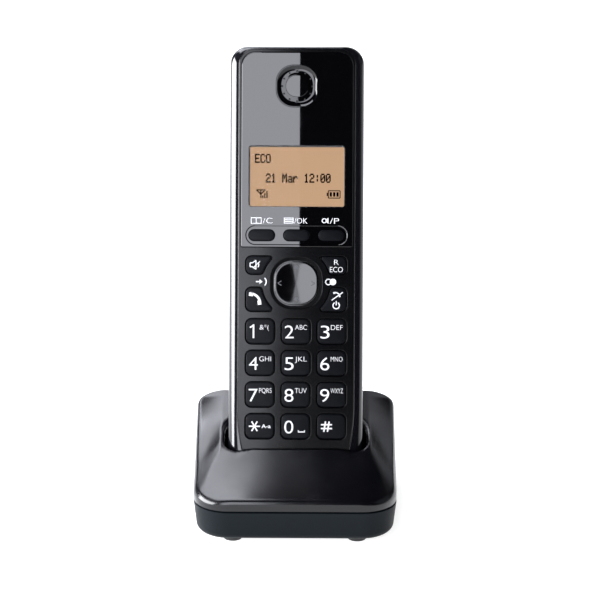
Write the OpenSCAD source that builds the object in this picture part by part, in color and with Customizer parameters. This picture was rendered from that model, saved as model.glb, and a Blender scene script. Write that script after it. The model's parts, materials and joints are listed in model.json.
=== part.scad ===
// Cordless telephone handset standing in its desktop charging cradle.
// Millimetres, +Z up, the keys face -Y. Origin: middle of the bounding box, on the table.

/* [Cradle] */
// Width of the cradle, side to side
cradle_w = 72; // [66:0.1:80]
// Depth of the cradle, front to back
cradle_d = 72; // [66:0.1:80]
// Plan radius of the two front corners
front_corner_r = 12.5; // [8:0.1:16]
// Plan radius of the two rear corners
rear_corner_r = 9; // [5:0.1:14]
// Height of the seam between the lower and the upper cabinet
seam_h = 12.8; // [9:0.1:16]
// Height of the gap under the lower cabinet, which the feet fill
foot_h = 1.6; // [1:0.1:4]
// Wall of the two cabinets
cabinet_wall = 2; // [1.4:0.1:3]
// Height of the ramp's front edge above the seam
ramp_start = 4.2; // [2:0.1:8]
// Height of the lip above the seam, where the ramp ends
lip_h = 14.1; // [10:0.1:20]
// Distance of the lip from the cradle's front
lip_d = 24.7; // [18:0.1:32]
// Radius of the hollow ramp
ramp_r = 130; // [80:1:400]
// Clearance between the handset and the pocket
pocket_gap = 1.5; // [0.8:0.1:2.5]
// Radius of a rubber foot where it touches the table
foot_r = 3.4; // [2.5:0.1:5]

/* [Handset] */
// Lean of the docked handset, in degrees from upright
tilt = 20.5; // [15:0.5:32]
// Length of the handset
hs_l = 160; // [145:0.5:175]
// Width of the handset
hs_w = 48; // [44:0.1:54]
// Greatest thickness of the handset
hs_t = 26; // [20:0.1:32]
// Length of the handset's chin that stands below the lip
hidden_l = 16.15; // [10:0.05:24]
// Wall of the rear cover
shell_wall = 2.2; // [2.1:0.1:2.6]
// Half the width of the front cover
front_half_w = 20.9; // [18:0.1:23]
// Thickness of the front cover's plate
plate_t = 1.5; // [1:0.1:2.5]
// Width of the glossy panel
panel_w = 39.6; // [34:0.1:41]
// Lower edge of the glossy panel, from the chin
panel_z = 88.1; // [80:0.1:100]
// Length of the glossy panel
panel_l = 69.6; // [60:0.1:72]

/* [Keys] */
// Travel of a key
key_travel = 0.5; // [0.3:0.05:1]
// Gap round a key
key_gap = 0.3; // [0.2:0.05:0.6]
// Height of a key above the front cover
key_proud = 0.7; // [0.3:0.05:1.5]
// Sideways pitch of the number keys
key_pitch_x = 12.75; // [11:0.05:14]
// Lengthways pitch of the number keys
key_pitch_z = 11.3; // [10:0.05:13]
// Width of a number key
key_w = 10; // [8:0.1:11]
// Height of a number key
key_h = 8.6; // [7:0.1:10]
// Centre of the top row of number keys, from the chin
key_top_z = 58; // [50:0.1:65]
// Centre of the navigator, from the chin
nav_z = 75.2; // [70:0.1:80]
// Width of the navigator cap
nav_w = 15.6; // [12:0.1:18]

/* [Display and sound] */
// Centre of the display, from the chin
lcd_z = 113.4; // [105:0.1:120]
// Width of the display window
lcd_w = 34.4; // [28:0.1:37]
// Height of the display window
lcd_h = 22; // [16:0.1:26]
// Centre of the soft keys, from the chin
soft_z = 92.3; // [90:0.1:96]
// Centre of the earpiece, from the chin
ear_z = 145.6; // [138:0.1:150]
// Width of the earpiece
ear_w = 15.2; // [10:0.1:18]

/* [Power] */
// Bore of the power inlet
jack_bore_r = 2.8; // [2:0.05:3.5]
// Radius of the power inlet's centre pin
jack_pin_r = 1; // [0.5:0.01:1.3]
// Distance of the power inlet from the middle
jack_x = 18; // [-20:0.5:20]
// Height of the power inlet's axis above the table
jack_h = 9.2; // [8:0.1:10]

/* [Hidden] */
$fn = 64;

// Small lap that makes two pieces of one solid run into each other.
lap = 0.4;
// Gap between pieces that are fixed to each other.
seat = 0.05;
// Reach of a cutting block, larger than the whole object.
far = 200;

// Colours of the pieces.
black = [0.05, 0.05, 0.06];
dark = [0.13, 0.14, 0.16];
grey = [0.35, 0.36, 0.4];
green = [0.05, 0.3, 0.15];
steel = [0.75, 0.75, 0.77];
gold = [0.8, 0.65, 0.25];

// The handset's back is one long arc; these place its centre.
back_r = 400;
back_z = 85;
back_y = hs_t - back_r;
side_r = 10;
end_r = 9;
rim_y = 0.5;
rim_r = 4;
top_r = 6.5;
chin_r = 10;
sweep = 30;
arc_fn = 720;
low_y = back_y + sqrt(pow(back_r - end_r, 2) - pow(back_z - end_r, 2));
high_y = back_y + sqrt(pow(back_r - end_r, 2) - pow(hs_l - end_r - back_z, 2));
low_sin = (back_z - end_r) / (back_r - end_r);
high_sin = (hs_l - end_r - back_z) / (back_r - end_r);

// The handset's own origin (front face, end of the chin) in the cradle's frame.
pocket_front = pocket_gap - rim_y;
hs_d0 = lip_d + pocket_front * cos(tilt) - hidden_l * sin(tilt);
hs_h0 = seam_h + lip_h - pocket_front * sin(tilt) - hidden_l * cos(tilt);
// Where the box's middle lies behind the cradle's front; the handset's top end is furthest back.
mid_d = (hs_d0 + high_y * cos(tilt) + (hs_l - end_r) * sin(tilt) + end_r) / 2;

// Front cover.
front_low = 1.2;
front_high = hs_l - 1;
front_top_r = 5.6;
front_chin_r = 9;
taper_z = 31;
taper_r = 70;
// Lets the tapering sides cross the straight ones instead of only touching them.
taper_slack = 0.02;
skirt_y = 5;
skirt_t = 1.2;
cover_gap = 0.12;
panel_proud = 0.35;
panel_floor = 0.9;
panel_back = panel_floor - seat;
panel_top_r = 5;

// Keys: a cap in the plate's opening, over a wider flange behind the plate.
flange_y = plate_t + 0.3;
flange_t = 0.5;
flange_lap = 0.6;
mat_y = 3;
mat_t = 0.85;
pcb_y = 3.9;
pcb_t = 1;
soft_w = 9.1;
soft_h = 3.8;
soft_pitch = 12.4;
soft_proud = 0.5;
soft_slot_w = 35.8;
soft_slot_h = 6.4;
ring_r = 12.5;
moat_w = 18.2;
moat_t = 0.8;
nav_r = 6.3;
nav_flange_r = 8.3;
nav_flange_y = 2.1;
nav_flange_t = 0.4;
gimbal_y = 3.1;
gimbal_r = 0.45;
gimbal_l = 2.6;
gimbal_hub = 1.2;
side_key_x = 13.3;
side_key_w = 9;
upper_key_z = 81.6;
upper_key_h = 6.1;
lower_key_z = 69.4;
lower_key_h = 8.2;

// Battery bay.
bay_w = 34;
bay_z0 = 36;
bay_z1 = 104;
bay_r = 5;
bay_gap = 0.3;
cover_t = 1.6;
flange_in = 1.95;
flange_out = 3.15;
tray_x = 11.6;
tray_z0 = 46.5;
tray_z1 = 96.5;
tray_y = 11.6;
tray_t = 1.2;
cell_r = 5.15;
cell_l = 43.3;
cell_x = 5.6;
cell_y = 17.1;
cell_z = 49.2;
nub_r = 1.9;
nub_l = 0.8;

// Screws.
hs_screw_x = 15;
hs_screw_z = 134;
hs_screw_y = 12;
screw_head_r = 2;
screw_head_t = 1.4;
screw_r = 1;
boss_r = 2.4;
tube_r = 3.8;
base_screw_x = 27;
base_screw_d = 56;
base_boss_r = 3.2;

// Contacts.
contact_x = 11;
contact_w = 4;
contact_y0 = 6.5;
contact_y1 = 10.5;

// Lower cabinet.
draft = 0.9;
heel_r = 3;
floor_t = 1.8;
seam_gap = 0.15;
tongue_root = 3;
tongue_h = 1.5;
tongue_t = 1.4;
foot_x = 22;
foot_flare = 0.9;
foot_sink = 0.6;
foot_d0 = 7.4;
foot_d1 = 64.5;
board_h = 4.25;
board_t = 1.2;
board_d0 = 50;
board_d1 = 68.7;

// Upper cabinet: height of the top along its middle, fall towards the sides, corner slopes.
top_base = 12.3;
top_rise = 0.085;
wing_x0 = 26.7;
wing_x1 = 38;
fall_front_d = 12;
fall_back_d = 66;
fall_most = 8;
fall_least = 0.7;
wing_dip = 0.5;
facet_base = 12.27;
facet_side = 0.318;
facet_rise = 0.4165;

// Power inlet.
jack_w = 9;
jack_t = 7;
jack_d0 = 59.2;
jack_d1 = 68.4;
jack_nose_r = 3.45;
jack_nose_d = 71.4;
jack_bore_l = 9;
jack_floor = jack_nose_d - jack_bore_l;
jack_pin_l = 7.5;
jack_root_r = 1.25;
jack_root_l = 1.5;

// ---- Shared shapes ----

// Flat shape: rectangle with round corners, about its middle.
module rrect(w, h, r) {
    square([w - 2 * r, h], center = true);
    square([w, h - 2 * r], center = true);
    for (x = [-1, 1], y = [-1, 1]) translate([x * (w / 2 - r), y * (h / 2 - r)]) circle(r);
}

// Flat shape: rectangle from z0 to z1 with its own radius for the upper and the lower corners.
module panel_shape(w, z0, z1, r_low, r_high) {
    translate([-w / 2 + r_low, z0]) square([w - 2 * r_low, r_low + lap]);
    translate([-w / 2, z0 + r_low]) square([w, z1 - r_high - z0 - r_low]);
    translate([-w / 2 + r_high, z1 - r_high - lap]) square([w - 2 * r_high, r_high + lap]);
    for (s = [-1, 1]) {
        translate([s * (w / 2 - r_low), z0 + r_low]) circle(r_low);
        translate([s * (w / 2 - r_high), z1 - r_high]) circle(r_high);
    }
}

// Sets a flat shape, drawn across and along the handset, upright with depths y0 to y1.
module slab(y0, y1) {
    translate([0, y1, 0]) rotate([90, 0, 0]) linear_extrude(y1 - y0) children();
}

// Box between two corners.
module box(a, b) {
    translate(a) cube(b - a);
}

// Rod along the handset's depth, or along the cradle's.
module rod_y(x, z, r, y0, y1) {
    translate([x, y1, z]) rotate([90, 0, 0]) cylinder(r = r, h = y1 - y0);
}

// Stands the handset's own frame in the cradle.
module in_handset() {
    translate([0, hs_d0 - mid_d, hs_h0]) rotate([-tilt, 0, 0]) children();
}

// The cradle's frame: across, back from its front, up from the table.
module in_cradle() {
    translate([0, -mid_d, 0]) children();
}

// ---- Handset body ----

// Flat shape: the section that sweeps along the arc of the back, shrunk by g.
module back_section(g) {
    r = side_r - g;
    w = hs_w - 2 * g;
    translate([back_r - hs_t - 8, -w / 2]) square([hs_t + 8 - side_r, w]);
    translate([back_r - side_r - lap, -w / 2 + r]) square([side_r + lap - g, w - 2 * r]);
    for (s = [-1, 1]) translate([back_r - side_r, s * (w / 2 - r)]) circle(r);
}

// Everything in front of the back's arc, shrunk by g.
module back_sweep(g) {
    translate([0, back_y, back_z])
        rotate([0, 90, 0]) rotate([0, 0, 90 - sweep / 2])
            rotate_extrude(angle = sweep, $fn = arc_fn) back_section(g);
}

// Flat shape: both ends seen from the side, round at the back, shrunk by g.
module end_shape(g) {
    r = end_r - g;
    z0 = back_z - (back_r - g) * low_sin;
    z1 = back_z + (back_r - g) * high_sin;
    translate([-5, g]) square([low_y + 5, hs_l - 2 * g]);
    translate([low_y, end_r]) square([high_y - low_y, hs_l - end_r - g]);
    translate([low_y - lap, z0]) square([far / 4, z1 - z0]);
    translate([low_y, end_r]) circle(r);
    translate([high_y, hs_l - end_r]) circle(r);
}

// Flat shape: the width seen along the handset, round at the front edges, shrunk by g.
module rim_shape(g) {
    r = rim_r - g;
    w = hs_w - 2 * g;
    translate([-w / 2, rim_y + rim_r]) square([w, far / 4]);
    translate([-w / 2 + r, rim_y + g]) square([w - 2 * r, r + lap]);
    for (s = [-1, 1]) translate([s * (w / 2 - r), rim_y + rim_r]) circle(r);
}

// The whole body of the handset behind its rim, shrunk by g.
module hull_body(g) {
    intersection() {
        back_sweep(g);
        translate([-far / 2, 0, 0]) rotate([90, 0, 90]) linear_extrude(far) end_shape(g);
        translate([0, 0, -far / 4]) linear_extrude(1.5 * far) rim_shape(g);
        slab(-5, far / 4) panel_shape(hs_w - 2 * g, g, hs_l - g, chin_r - g, top_r - g);
    }
}

// Flat shape: outline of the front cover, narrowing towards the chin, shrunk by g.
module front_outline(g) {
    intersection() {
        panel_shape(2 * (front_half_w - g), front_low + g, front_high - g,
            front_chin_r - g, front_top_r - g);
        union() {
            translate([-far / 2, taper_z - 0.01]) square([far, far]);
            intersection_for(s = [-1, 1])
                translate([s * (taper_r - front_half_w), taper_z]) circle(taper_r - g + taper_slack, $fn = 256);
        }
    }
}

// Flat shape: outline of the battery cover, grown by g.
module bay_outline(g) {
    translate([0, (bay_z0 + bay_z1) / 2]) rrect(bay_w + 2 * g, bay_z1 - bay_z0 + 2 * g, bay_r + g);
}

module handset_rear_cover() {
    color(black) in_handset() difference() {
        union() {
            difference() {
                hull_body(0);
                intersection() {
                    hull_body(shell_wall);
                    box([-far, skirt_y + shell_wall, -far], [far, far, far]);
                }
                slab(-far / 4, skirt_y + seat) front_outline(-cover_gap);
                slab(0, skirt_y + shell_wall + lap) front_outline(1.5);
                slab(low_y, far / 4) bay_outline(bay_gap);
            }
            // Ledge under the battery cover, tray of the cells, tubes of the screws.
            difference() {
                intersection() {
                    back_sweep(flange_in);
                    slab(low_y, far / 4) bay_outline(1.5);
                }
                back_sweep(flange_out);
            }
            intersection() {
                back_sweep(flange_in);
                box([-tray_x - tray_t, tray_y - tray_t, tray_z0 - tray_t],
                    [tray_x + tray_t, far / 4, tray_z1 + tray_t]);
            }
            intersection() {
                hull_body(shell_wall / 2);
                for (s = [-1, 1]) rod_y(s * hs_screw_x, hs_screw_z, tube_r, hs_screw_y - 2.4, far / 4);
            }
        }
        box([-tray_x, tray_y, tray_z0], [tray_x, far / 4, tray_z1]);
        for (s = [-1, 1]) {
            rod_y(s * hs_screw_x, hs_screw_z, screw_head_r + 0.4, hs_screw_y, far / 4);
            rod_y(s * hs_screw_x, hs_screw_z, screw_r + 0.2, hs_screw_y - 4, hs_screw_y + lap);
            box([s * contact_x - 2.1, contact_y0 - 0.1, -1], [s * contact_x + 2.1, contact_y1 + 0.1, 3]);
        }
        // Sound slots of the loudspeaker.
        for (i = [-2:2]) slab(low_y, far / 4) translate([0, 120 + 2.8 * i]) rrect(15 - 2 * abs(i), 1.3, 0.6);
    }
}

module handset_front_cover() {
    color(dark) in_handset() difference() {
        union() {
            slab(0, plate_t) front_outline(0);
            difference() {
                slab(plate_t - lap, skirt_y) front_outline(0);
                slab(0, skirt_y + 1) front_outline(skirt_t);
            }
            for (s = [-1, 1]) rod_y(s * hs_screw_x, hs_screw_z, boss_r, plate_t - lap, hs_screw_y - 2.5);
        }
        slab(-1, panel_floor)
            panel_shape(panel_w + 0.2, panel_z - 0.1, panel_z + panel_l + 0.1, 0.6, panel_top_r);
        translate([0, 0, lcd_z]) slab(-1, plate_t + 1) rrect(38, 25.6, 1);
        translate([0, 0, ear_z]) slab(-1, plate_t + 1) rrect(11, 11, 5);
        translate([0, 0, nav_z]) {
            slab(-1, moat_t) rrect(moat_w, moat_w, 7.6);
            slab(-1, plate_t + 1) rrect(nav_w + 2 * key_gap, nav_w + 2 * key_gap, nav_r + key_gap);
        }
        for (c = [-1:1], r = [0:3]) number_place(c, r)
            slab(-1, plate_t + 1) rrect(key_w + 2 * key_gap, key_h + 2 * key_gap, 2.3);
        for (c = [-1:1]) soft_place(c)
            slab(-1, plate_t + 1) rrect(soft_w + 2 * key_gap, soft_h + 2 * key_gap, 2.1);
        for (s = [-1, 1]) {
            slab(-1, plate_t + 1) side_key_shape(s, upper_key_z, upper_key_h, key_gap);
            slab(-1, plate_t + 1) side_key_shape(s, lower_key_z, lower_key_h, key_gap);
            rod_y(s * hs_screw_x, hs_screw_z, screw_r + 0.1, plate_t, hs_screw_y);
        }
        rod_y(0, 9.5, 0.5, -1, plate_t + 1);
    }
}

module battery_cover() {
    color(black) in_handset() intersection() {
        difference() {
            back_sweep(0);
            back_sweep(cover_t);
        }
        slab(low_y, far / 4) bay_outline(0);
    }
}

// ---- Front of the handset ----

module display_panel() {
    color(black) in_handset() difference() {
        slab(-panel_proud, panel_back) panel_shape(panel_w, panel_z, panel_z + panel_l, 0.5, panel_top_r - 0.1);
        translate([0, 0, lcd_z]) slab(-1, 2) rrect(lcd_w, lcd_h, 1);
        translate([0, 0, ear_z]) slab(-1, 2) rrect(ear_w + 0.2, ear_w + 0.2, 5.6);
        translate([0, 0, soft_z]) slab(-1, 2) rrect(soft_slot_w, soft_slot_h, soft_slot_h / 2 - 0.01);
    }
}

module display_window() {
    color([0.6, 0.62, 0.6, 0.5]) in_handset() translate([0, 0, lcd_z])
        slab(-panel_proud, panel_back) rrect(lcd_w - 2 * seat, lcd_h - 2 * seat, 0.95);
}

module earpiece_grille() {
    color(dark) in_handset() translate([0, 0, ear_z]) difference() {
        slab(-panel_proud, panel_back) rrect(ear_w, ear_w, 5.5);
        difference() {
            slab(-1, 0.35) rrect(ear_w - 1.6, ear_w - 1.6, 4.7);
            slab(-2, 1) rrect(8.2, 7.6, 2.6);
        }
        for (a = [0:30:359]) rotate([0, a, 0]) rod_y(5.35, 0, 0.4, -1, 2);
    }
}

module lcd_module() {
    color([0.8, 0.66, 0.52]) in_handset() translate([0, 0, lcd_z])
        slab(panel_floor + seat, 2.85) rrect(37.4, 25, 0.6);
}

module lcd_holder() {
    color([0.85, 0.85, 0.85]) in_handset() translate([0, 0, lcd_z]) difference() {
        slab(2.9, pcb_y - seat) rrect(38, 27, 1);
        slab(2, 5) rrect(31, 19, 1);
    }
}

module main_pcb() {
    color(green) in_handset() difference() {
        intersection() {
            slab(pcb_y, pcb_y + pcb_t) front_outline(1.7);
            box([-far, -far, 6], [far, far, 130]);
        }
        for (s = [-1, 1]) rod_y(s * 15, 100, 1.2, 0, 8);
    }
}

module rf_shield() {
    color(steel) in_handset() difference() {
        box([-13, pcb_y + pcb_t + seat, 103], [13, pcb_y + pcb_t + 2.6, 127]);
        box([-12.7, pcb_y, 103.3], [12.7, pcb_y + pcb_t + 2.3, 126.7]);
    }
}

module keypad_mat() {
    color(grey) in_handset() difference() {
        intersection() {
            slab(mat_y, mat_y + mat_t) front_outline(2.2);
            box([-far, -far, 17], [far, far, 97]);
        }
        rod_y(0, nav_z, gimbal_l + 0.5, 0, 8);
    }
}

module receiver_speaker() {
    color(steel) in_handset() {
        rod_y(0, ear_z, 6.6, plate_t + seat, 3.2);
        rod_y(0, ear_z, 4.6, 3, 4.6);
    }
}

module loudspeaker() {
    color(dark) in_handset() {
        rod_y(0, 120, 9.5, 18, 20.6);
        rod_y(0, 120, 6, 14.6, 18.2);
    }
}

module microphone() {
    color(steel) in_handset() rod_y(0, 9.5, 2, plate_t + seat, pcb_y - seat);
}

module antenna() {
    color(gold) in_handset() {
        box([-11.6, pcb_y + pcb_t + seat, 128.2], [-8.6, pcb_y + pcb_t + 0.55, 153]);
        box([-11.6, pcb_y + pcb_t + seat, 149], [14, pcb_y + pcb_t + 0.55, 153]);
    }
}

// ---- Cells and contacts of the handset ----

module cell(x, up) {
    translate([x, cell_y, cell_z]) {
        translate([0, 0, up ? 0 : nub_l]) cylinder(r = cell_r, h = cell_l);
        translate([0, 0, up ? cell_l - lap : 0]) cylinder(r = nub_r, h = nub_l + lap);
    }
}

module battery_left() { color([0.2, 0.45, 0.25]) in_handset() cell(-cell_x, true); }
module battery_right() { color([0.2, 0.45, 0.25]) in_handset() cell(cell_x, false); }

module battery_bridge() {
    color(steel) in_handset() {
        box([-10.5, 12.6, tray_z0 + seat], [10.5, 21.2, tray_z0 + 0.5]);
        for (s = [-1, 1]) translate([s * cell_x, cell_y, tray_z0 + 0.4]) cylinder(r1 = 3.6, r2 = 2.2, h = 2.1);
    }
}

module battery_terminal(x) {
    box([x - 4.4, 12.6, tray_z1 - 0.5], [x + 4.4, 21.2, tray_z1 - seat]);
    translate([x, cell_y, tray_z1 - 2.2]) cylinder(r1 = 2.2, r2 = 3.4, h = 1.8);
}

module battery_terminal_left() { color(steel) in_handset() battery_terminal(-cell_x); }
module battery_terminal_right() { color(steel) in_handset() battery_terminal(cell_x); }

module handset_contact(x) {
    intersection() {
        hull_body(0.05);
        box([x - contact_w / 2, contact_y0, -1], [x + contact_w / 2, contact_y1, 2.6]);
    }
}

module handset_contact_left() { color(gold) in_handset() handset_contact(-contact_x); }
module handset_contact_right() { color(gold) in_handset() handset_contact(contact_x); }

module handset_screw(x) {
    difference() {
        union() {
            rod_y(x, hs_screw_z, screw_head_r, hs_screw_y + seat, hs_screw_y + screw_head_t);
            rod_y(x, hs_screw_z, screw_r, plate_t + 1.5, hs_screw_y + lap);
        }
        for (a = [0, 90]) translate([x, hs_screw_y, hs_screw_z]) rotate([0, a, 0])
            box([-1.2, 0.8, -0.25], [1.2, 3, 0.25]);
    }
}

module handset_screw_left() { color(steel) in_handset() handset_screw(-hs_screw_x); }
module handset_screw_right() { color(steel) in_handset() handset_screw(hs_screw_x); }

// ---- Keys ----

// Place of a number key: column -1 to 1, row 0 at the top.
module number_place(c, r) {
    translate([c * key_pitch_x, 0, key_top_z - r * key_pitch_z]) children();
}

module soft_place(c) {
    translate([c * soft_pitch, 0, soft_z]) children();
}

// Flat shape: a key beside the navigator, hollowed to follow it, grown by g.
module side_key_shape(s, z, h, g) {
    difference() {
        translate([s * side_key_x, z]) rrect(side_key_w + 2 * g, h + 2 * g, 1.9 + g);
        translate([0, nav_z]) circle(ring_r - g);
    }
}

module number_key(c, r) {
    color(grey) in_handset() number_place(c, r) {
        slab(-key_proud, flange_y + lap / 2) rrect(key_w, key_h, 2);
        slab(flange_y, flange_y + flange_t) rrect(key_w + 2 * flange_lap, key_h + 2 * flange_lap, 2.4);
    }
}

module soft_key(c) {
    color(grey) in_handset() soft_place(c) {
        slab(-soft_proud, flange_y + lap / 2) rrect(soft_w, soft_h, 1.85);
        slab(flange_y, flange_y + flange_t) rrect(soft_w + 2 * flange_lap, soft_h + 2 * flange_lap, 2.3);
    }
}

module side_key(s, z, h) {
    color(grey) in_handset() {
        slab(-key_proud, flange_y + lap / 2) side_key_shape(s, z, h, 0);
        slab(flange_y, flange_y + flange_t) side_key_shape(s, z, h, 0.45);
    }
}

module key_1() { number_key(-1, 0); }
module key_2() { number_key(0, 0); }
module key_3() { number_key(1, 0); }
module key_4() { number_key(-1, 1); }
module key_5() { number_key(0, 1); }
module key_6() { number_key(1, 1); }
module key_7() { number_key(-1, 2); }
module key_8() { number_key(0, 2); }
module key_9() { number_key(1, 2); }
module key_star() { number_key(-1, 3); }
module key_0() { number_key(0, 3); }
module key_hash() { number_key(1, 3); }
module softkey_left() { soft_key(-1); }
module softkey_middle() { soft_key(0); }
module softkey_right() { soft_key(1); }
module key_speaker() { side_key(-1, upper_key_z, upper_key_h); }
module key_talk() { side_key(-1, lower_key_z, lower_key_h); }
module key_recall() { side_key(1, upper_key_z, upper_key_h); }
module key_off() { side_key(1, lower_key_z, lower_key_h); }

module navigator_key() {
    color(black) in_handset() translate([0, 0, nav_z]) {
        slab(-0.9, nav_flange_y + lap / 2) rrect(nav_w, nav_w, nav_r);
        rod_y(0, 0, nav_flange_r, nav_flange_y, nav_flange_y + nav_flange_t);
    }
}

// Cross that carries the navigator: one spindle across, one along the handset.
module nav_actuator() {
    color(grey) in_handset() translate([0, gimbal_y, nav_z]) {
        for (turn = [[0, 90, 0], [0, 0, 0]])
            rotate(turn) cylinder(r = gimbal_r, h = 2 * gimbal_l, center = true);
        rotate([90, 0, 0]) cylinder(r = gimbal_hub, h = 2 * gimbal_r - 0.02, center = true);
    }
}

// ---- Cradle ----

// Flat shape: the cradle seen from above, shrunk by g.
module plan(g) {
    r0 = front_corner_r - g;
    r1 = rear_corner_r - g;
    w = cradle_w - 2 * g;
    panel_shape(w, g, cradle_d - g, r0, r1);
}

// Flat shape: section of the lower cabinet of width w, standing on foot_h, shrunk by g.
module tub_section(w, g) {
    h0 = foot_h + heel_r;
    b = w / 2 - draft;
    polygon([[-w / 2 + g, seam_h], [w / 2 - g, seam_h], [b - g, h0], [-b + g, h0]]);
    translate([-b + heel_r, foot_h + g]) square([2 * (b - heel_r), heel_r - g + lap]);
    for (s = [-1, 1]) translate([s * (b - heel_r), h0]) circle(heel_r - g);
}

// Body of the lower cabinet, shrunk by g.
module tub(g) {
    intersection() {
        linear_extrude(seam_h) plan(g);
        translate([0, far / 2, 0]) rotate([90, 0, 0]) linear_extrude(far) tub_section(cradle_w, g);
        translate([-far / 2, cradle_d / 2, 0]) rotate([90, 0, 90]) linear_extrude(far) tub_section(cradle_d, g);
    }
}

// Height of the top along the cradle's middle, d behind its front.
function top_mid(d) = seam_h + top_base + top_rise * d;
// How far the outer edge falls below that.
function fall(d) = fall_least + fall_most * max(0, (fall_back_d - d) / (fall_back_d - fall_front_d));
// Height of the top at the side distance x.
function top_at(x, d) = top_mid(d) - fall(d) * max(0, abs(x) - wing_x0) / (wing_x1 - wing_x0 - 1.7)
    - (abs(abs(x) - 31.5) < 0.1 ? wing_dip * fall(d) / fall_most : 0);

wing_cols = [-wing_x1, -31.5, -wing_x0, wing_x0, 31.5, wing_x1];
wing_rows = [for (d = [-4:4:76]) d];
wing_n = len(wing_cols);
wing_m = len(wing_rows);
wing_top = seam_h + 60;

// The air above the wings and the top: a block whose underside is the twisted surface.
module air_over_top() {
    low = [for (d = wing_rows, x = wing_cols) [x, d, top_at(x, d)]];
    high = [for (d = wing_rows, x = wing_cols) [x, d, wing_top]];
    k = len(low);
    last = (wing_m - 1) * wing_n;
    cells = [for (j = [0:wing_m - 2], i = [0:wing_n - 2]) j * wing_n + i];
    polyhedron(points = concat(low, high), convexity = 6, faces = concat(
        [for (a = cells) [a, a + 1, a + wing_n + 1]],
        [for (a = cells) [a, a + wing_n + 1, a + wing_n]],
        [for (a = cells) [k + a, k + a + wing_n + 1, k + a + 1]],
        [for (a = cells) [k + a, k + a + wing_n, k + a + wing_n + 1]],
        [for (i = [0:wing_n - 2]) [i, k + i, k + i + 1]],
        [for (i = [0:wing_n - 2]) [i, k + i + 1, i + 1]],
        [for (i = [last:last + wing_n - 2]) [i, k + i + 1, k + i]],
        [for (i = [last:last + wing_n - 2]) [i, i + 1, k + i + 1]],
        [for (j = [0:wing_n:last - 1]) [j, j + wing_n, k + j + wing_n]],
        [for (j = [0:wing_n:last - 1]) [j, k + j + wing_n, k + j]],
        [for (j = [wing_n - 1:wing_n:last - 1]) [j, k + j + wing_n, j + wing_n]],
        [for (j = [wing_n - 1:wing_n:last - 1]) [j, k + j, k + j + wing_n]]
    ));
}

ramp_slope = atan((lip_h - ramp_start) / lip_d);
ramp_chord = sqrt(pow(lip_d, 2) + pow(lip_h - ramp_start, 2));
ramp_reach = sqrt(pow(ramp_r, 2) - pow(ramp_chord / 2, 2));
facet_turn = atan2(-facet_rise, facet_side);
facet_lean = atan(sqrt(pow(facet_side, 2) + pow(facet_rise, 2)));

// The air in front of the ramp and beside it, at the two front corners.
module air_over_ramp() {
    translate([0, lip_d / 2, seam_h + (ramp_start + lip_h) / 2]) rotate([ramp_slope, 0, 0])
        translate([0, 0, ramp_reach]) rotate([0, 90, 0])
            cylinder(r = ramp_r, h = far, center = true, $fn = arc_fn);
    for (m = [0, 1]) mirror([m, 0, 0]) translate([0, 0, seam_h + facet_base])
        rotate([0, facet_lean, facet_turn]) translate([-far / 2, -far / 2, 0]) cube(far);
}

// Upper cabinet as a full block, its sides shrunk by g and its top lowered by down.
module cap_block(g, down) {
    difference() {
        translate([0, 0, seam_h + seam_gap - down]) linear_extrude(30) plan(g);
        translate([0, 0, -down]) {
            air_over_top();
            air_over_ramp();
        }
    }
}

// The handset's own frame, seen from the cradle's.
module docked() {
    translate([0, hs_d0, hs_h0]) rotate([-tilt, 0, 0]) children();
}

// The handset's place, grown by g, in the cradle's frame.
module dock(g) {
    docked() hull_body(-g);
}

// The two screws of the cradle, from height h.
module base_screw_places(h) {
    for (s = [-1, 1]) translate([s * base_screw_x, base_screw_d, h]) children();
}

module charger_top_cover() {
    color(dark) in_cradle() difference() {
        union() {
            difference() {
                cap_block(0, 0);
                cap_block(cabinet_wall, cabinet_wall + 0.2);
            }
            intersection() {
                dock(pocket_gap + 1.6);
                union() {
                    cap_block(1, 0.5);
                    translate([0, 0, foot_h + floor_t + 0.2])
                        linear_extrude(seam_h - foot_h - floor_t) plan(cabinet_wall + 2);
                }
            }
            intersection() {
                cap_block(1, 0.5);
                base_screw_places(seam_h) cylinder(r = base_boss_r, h = far);
            }
            base_screw_places(foot_h + floor_t + 0.3) cylinder(r = base_boss_r, h = seam_h - foot_h);
        }
        difference() {
            dock(pocket_gap);
            docked() for (s = [-1, 1]) box([s * 5 - 0.75, 4, -5], [s * 5 + 0.75, 12, -0.3]);
        }
        base_screw_places(0) cylinder(r = screw_r + 0.45, h = 16);
        docked() for (s = [-1, 1])
            box([s * contact_x - 1.9, contact_y0 + 0.1, -8], [s * contact_x + 1.9, contact_y1 - 0.1, 0]);
    }
}

module charger_bottom_cover() {
    color(dark) in_cradle() difference() {
        union() {
            difference() {
                tub(0);
                tub(floor_t);
                translate([-far / 2, -far / 2, seam_h - seam_gap]) cube(far);
            }
            // Tongue that keeps the upper cabinet in line, and its root on the wall.
            translate([0, 0, seam_h - tongue_root]) linear_extrude(tongue_root + tongue_h) difference() {
                plan(cabinet_wall + 0.2);
                plan(cabinet_wall + tongue_t);
            }
            translate([0, 0, seam_h - tongue_root]) linear_extrude(tongue_root - seam_gap - 0.2) difference() {
                plan(cabinet_wall - 0.8);
                plan(cabinet_wall + tongue_t);
            }
        }
        base_screw_places(0) {
            cylinder(r = screw_r + 0.5, h = 10);
            cylinder(r = screw_head_r + 0.4, h = foot_h + 1.1);
        }
        for (x = [-foot_x, foot_x], d = [foot_d0, foot_d1]) translate([x, d, 0])
            cylinder(r = foot_r + foot_flare - 0.05, h = foot_h + foot_sink);
        rod_y(jack_x, jack_h, jack_nose_r + 0.2, cradle_d - 6, cradle_d + 2);
    }
}

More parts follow.
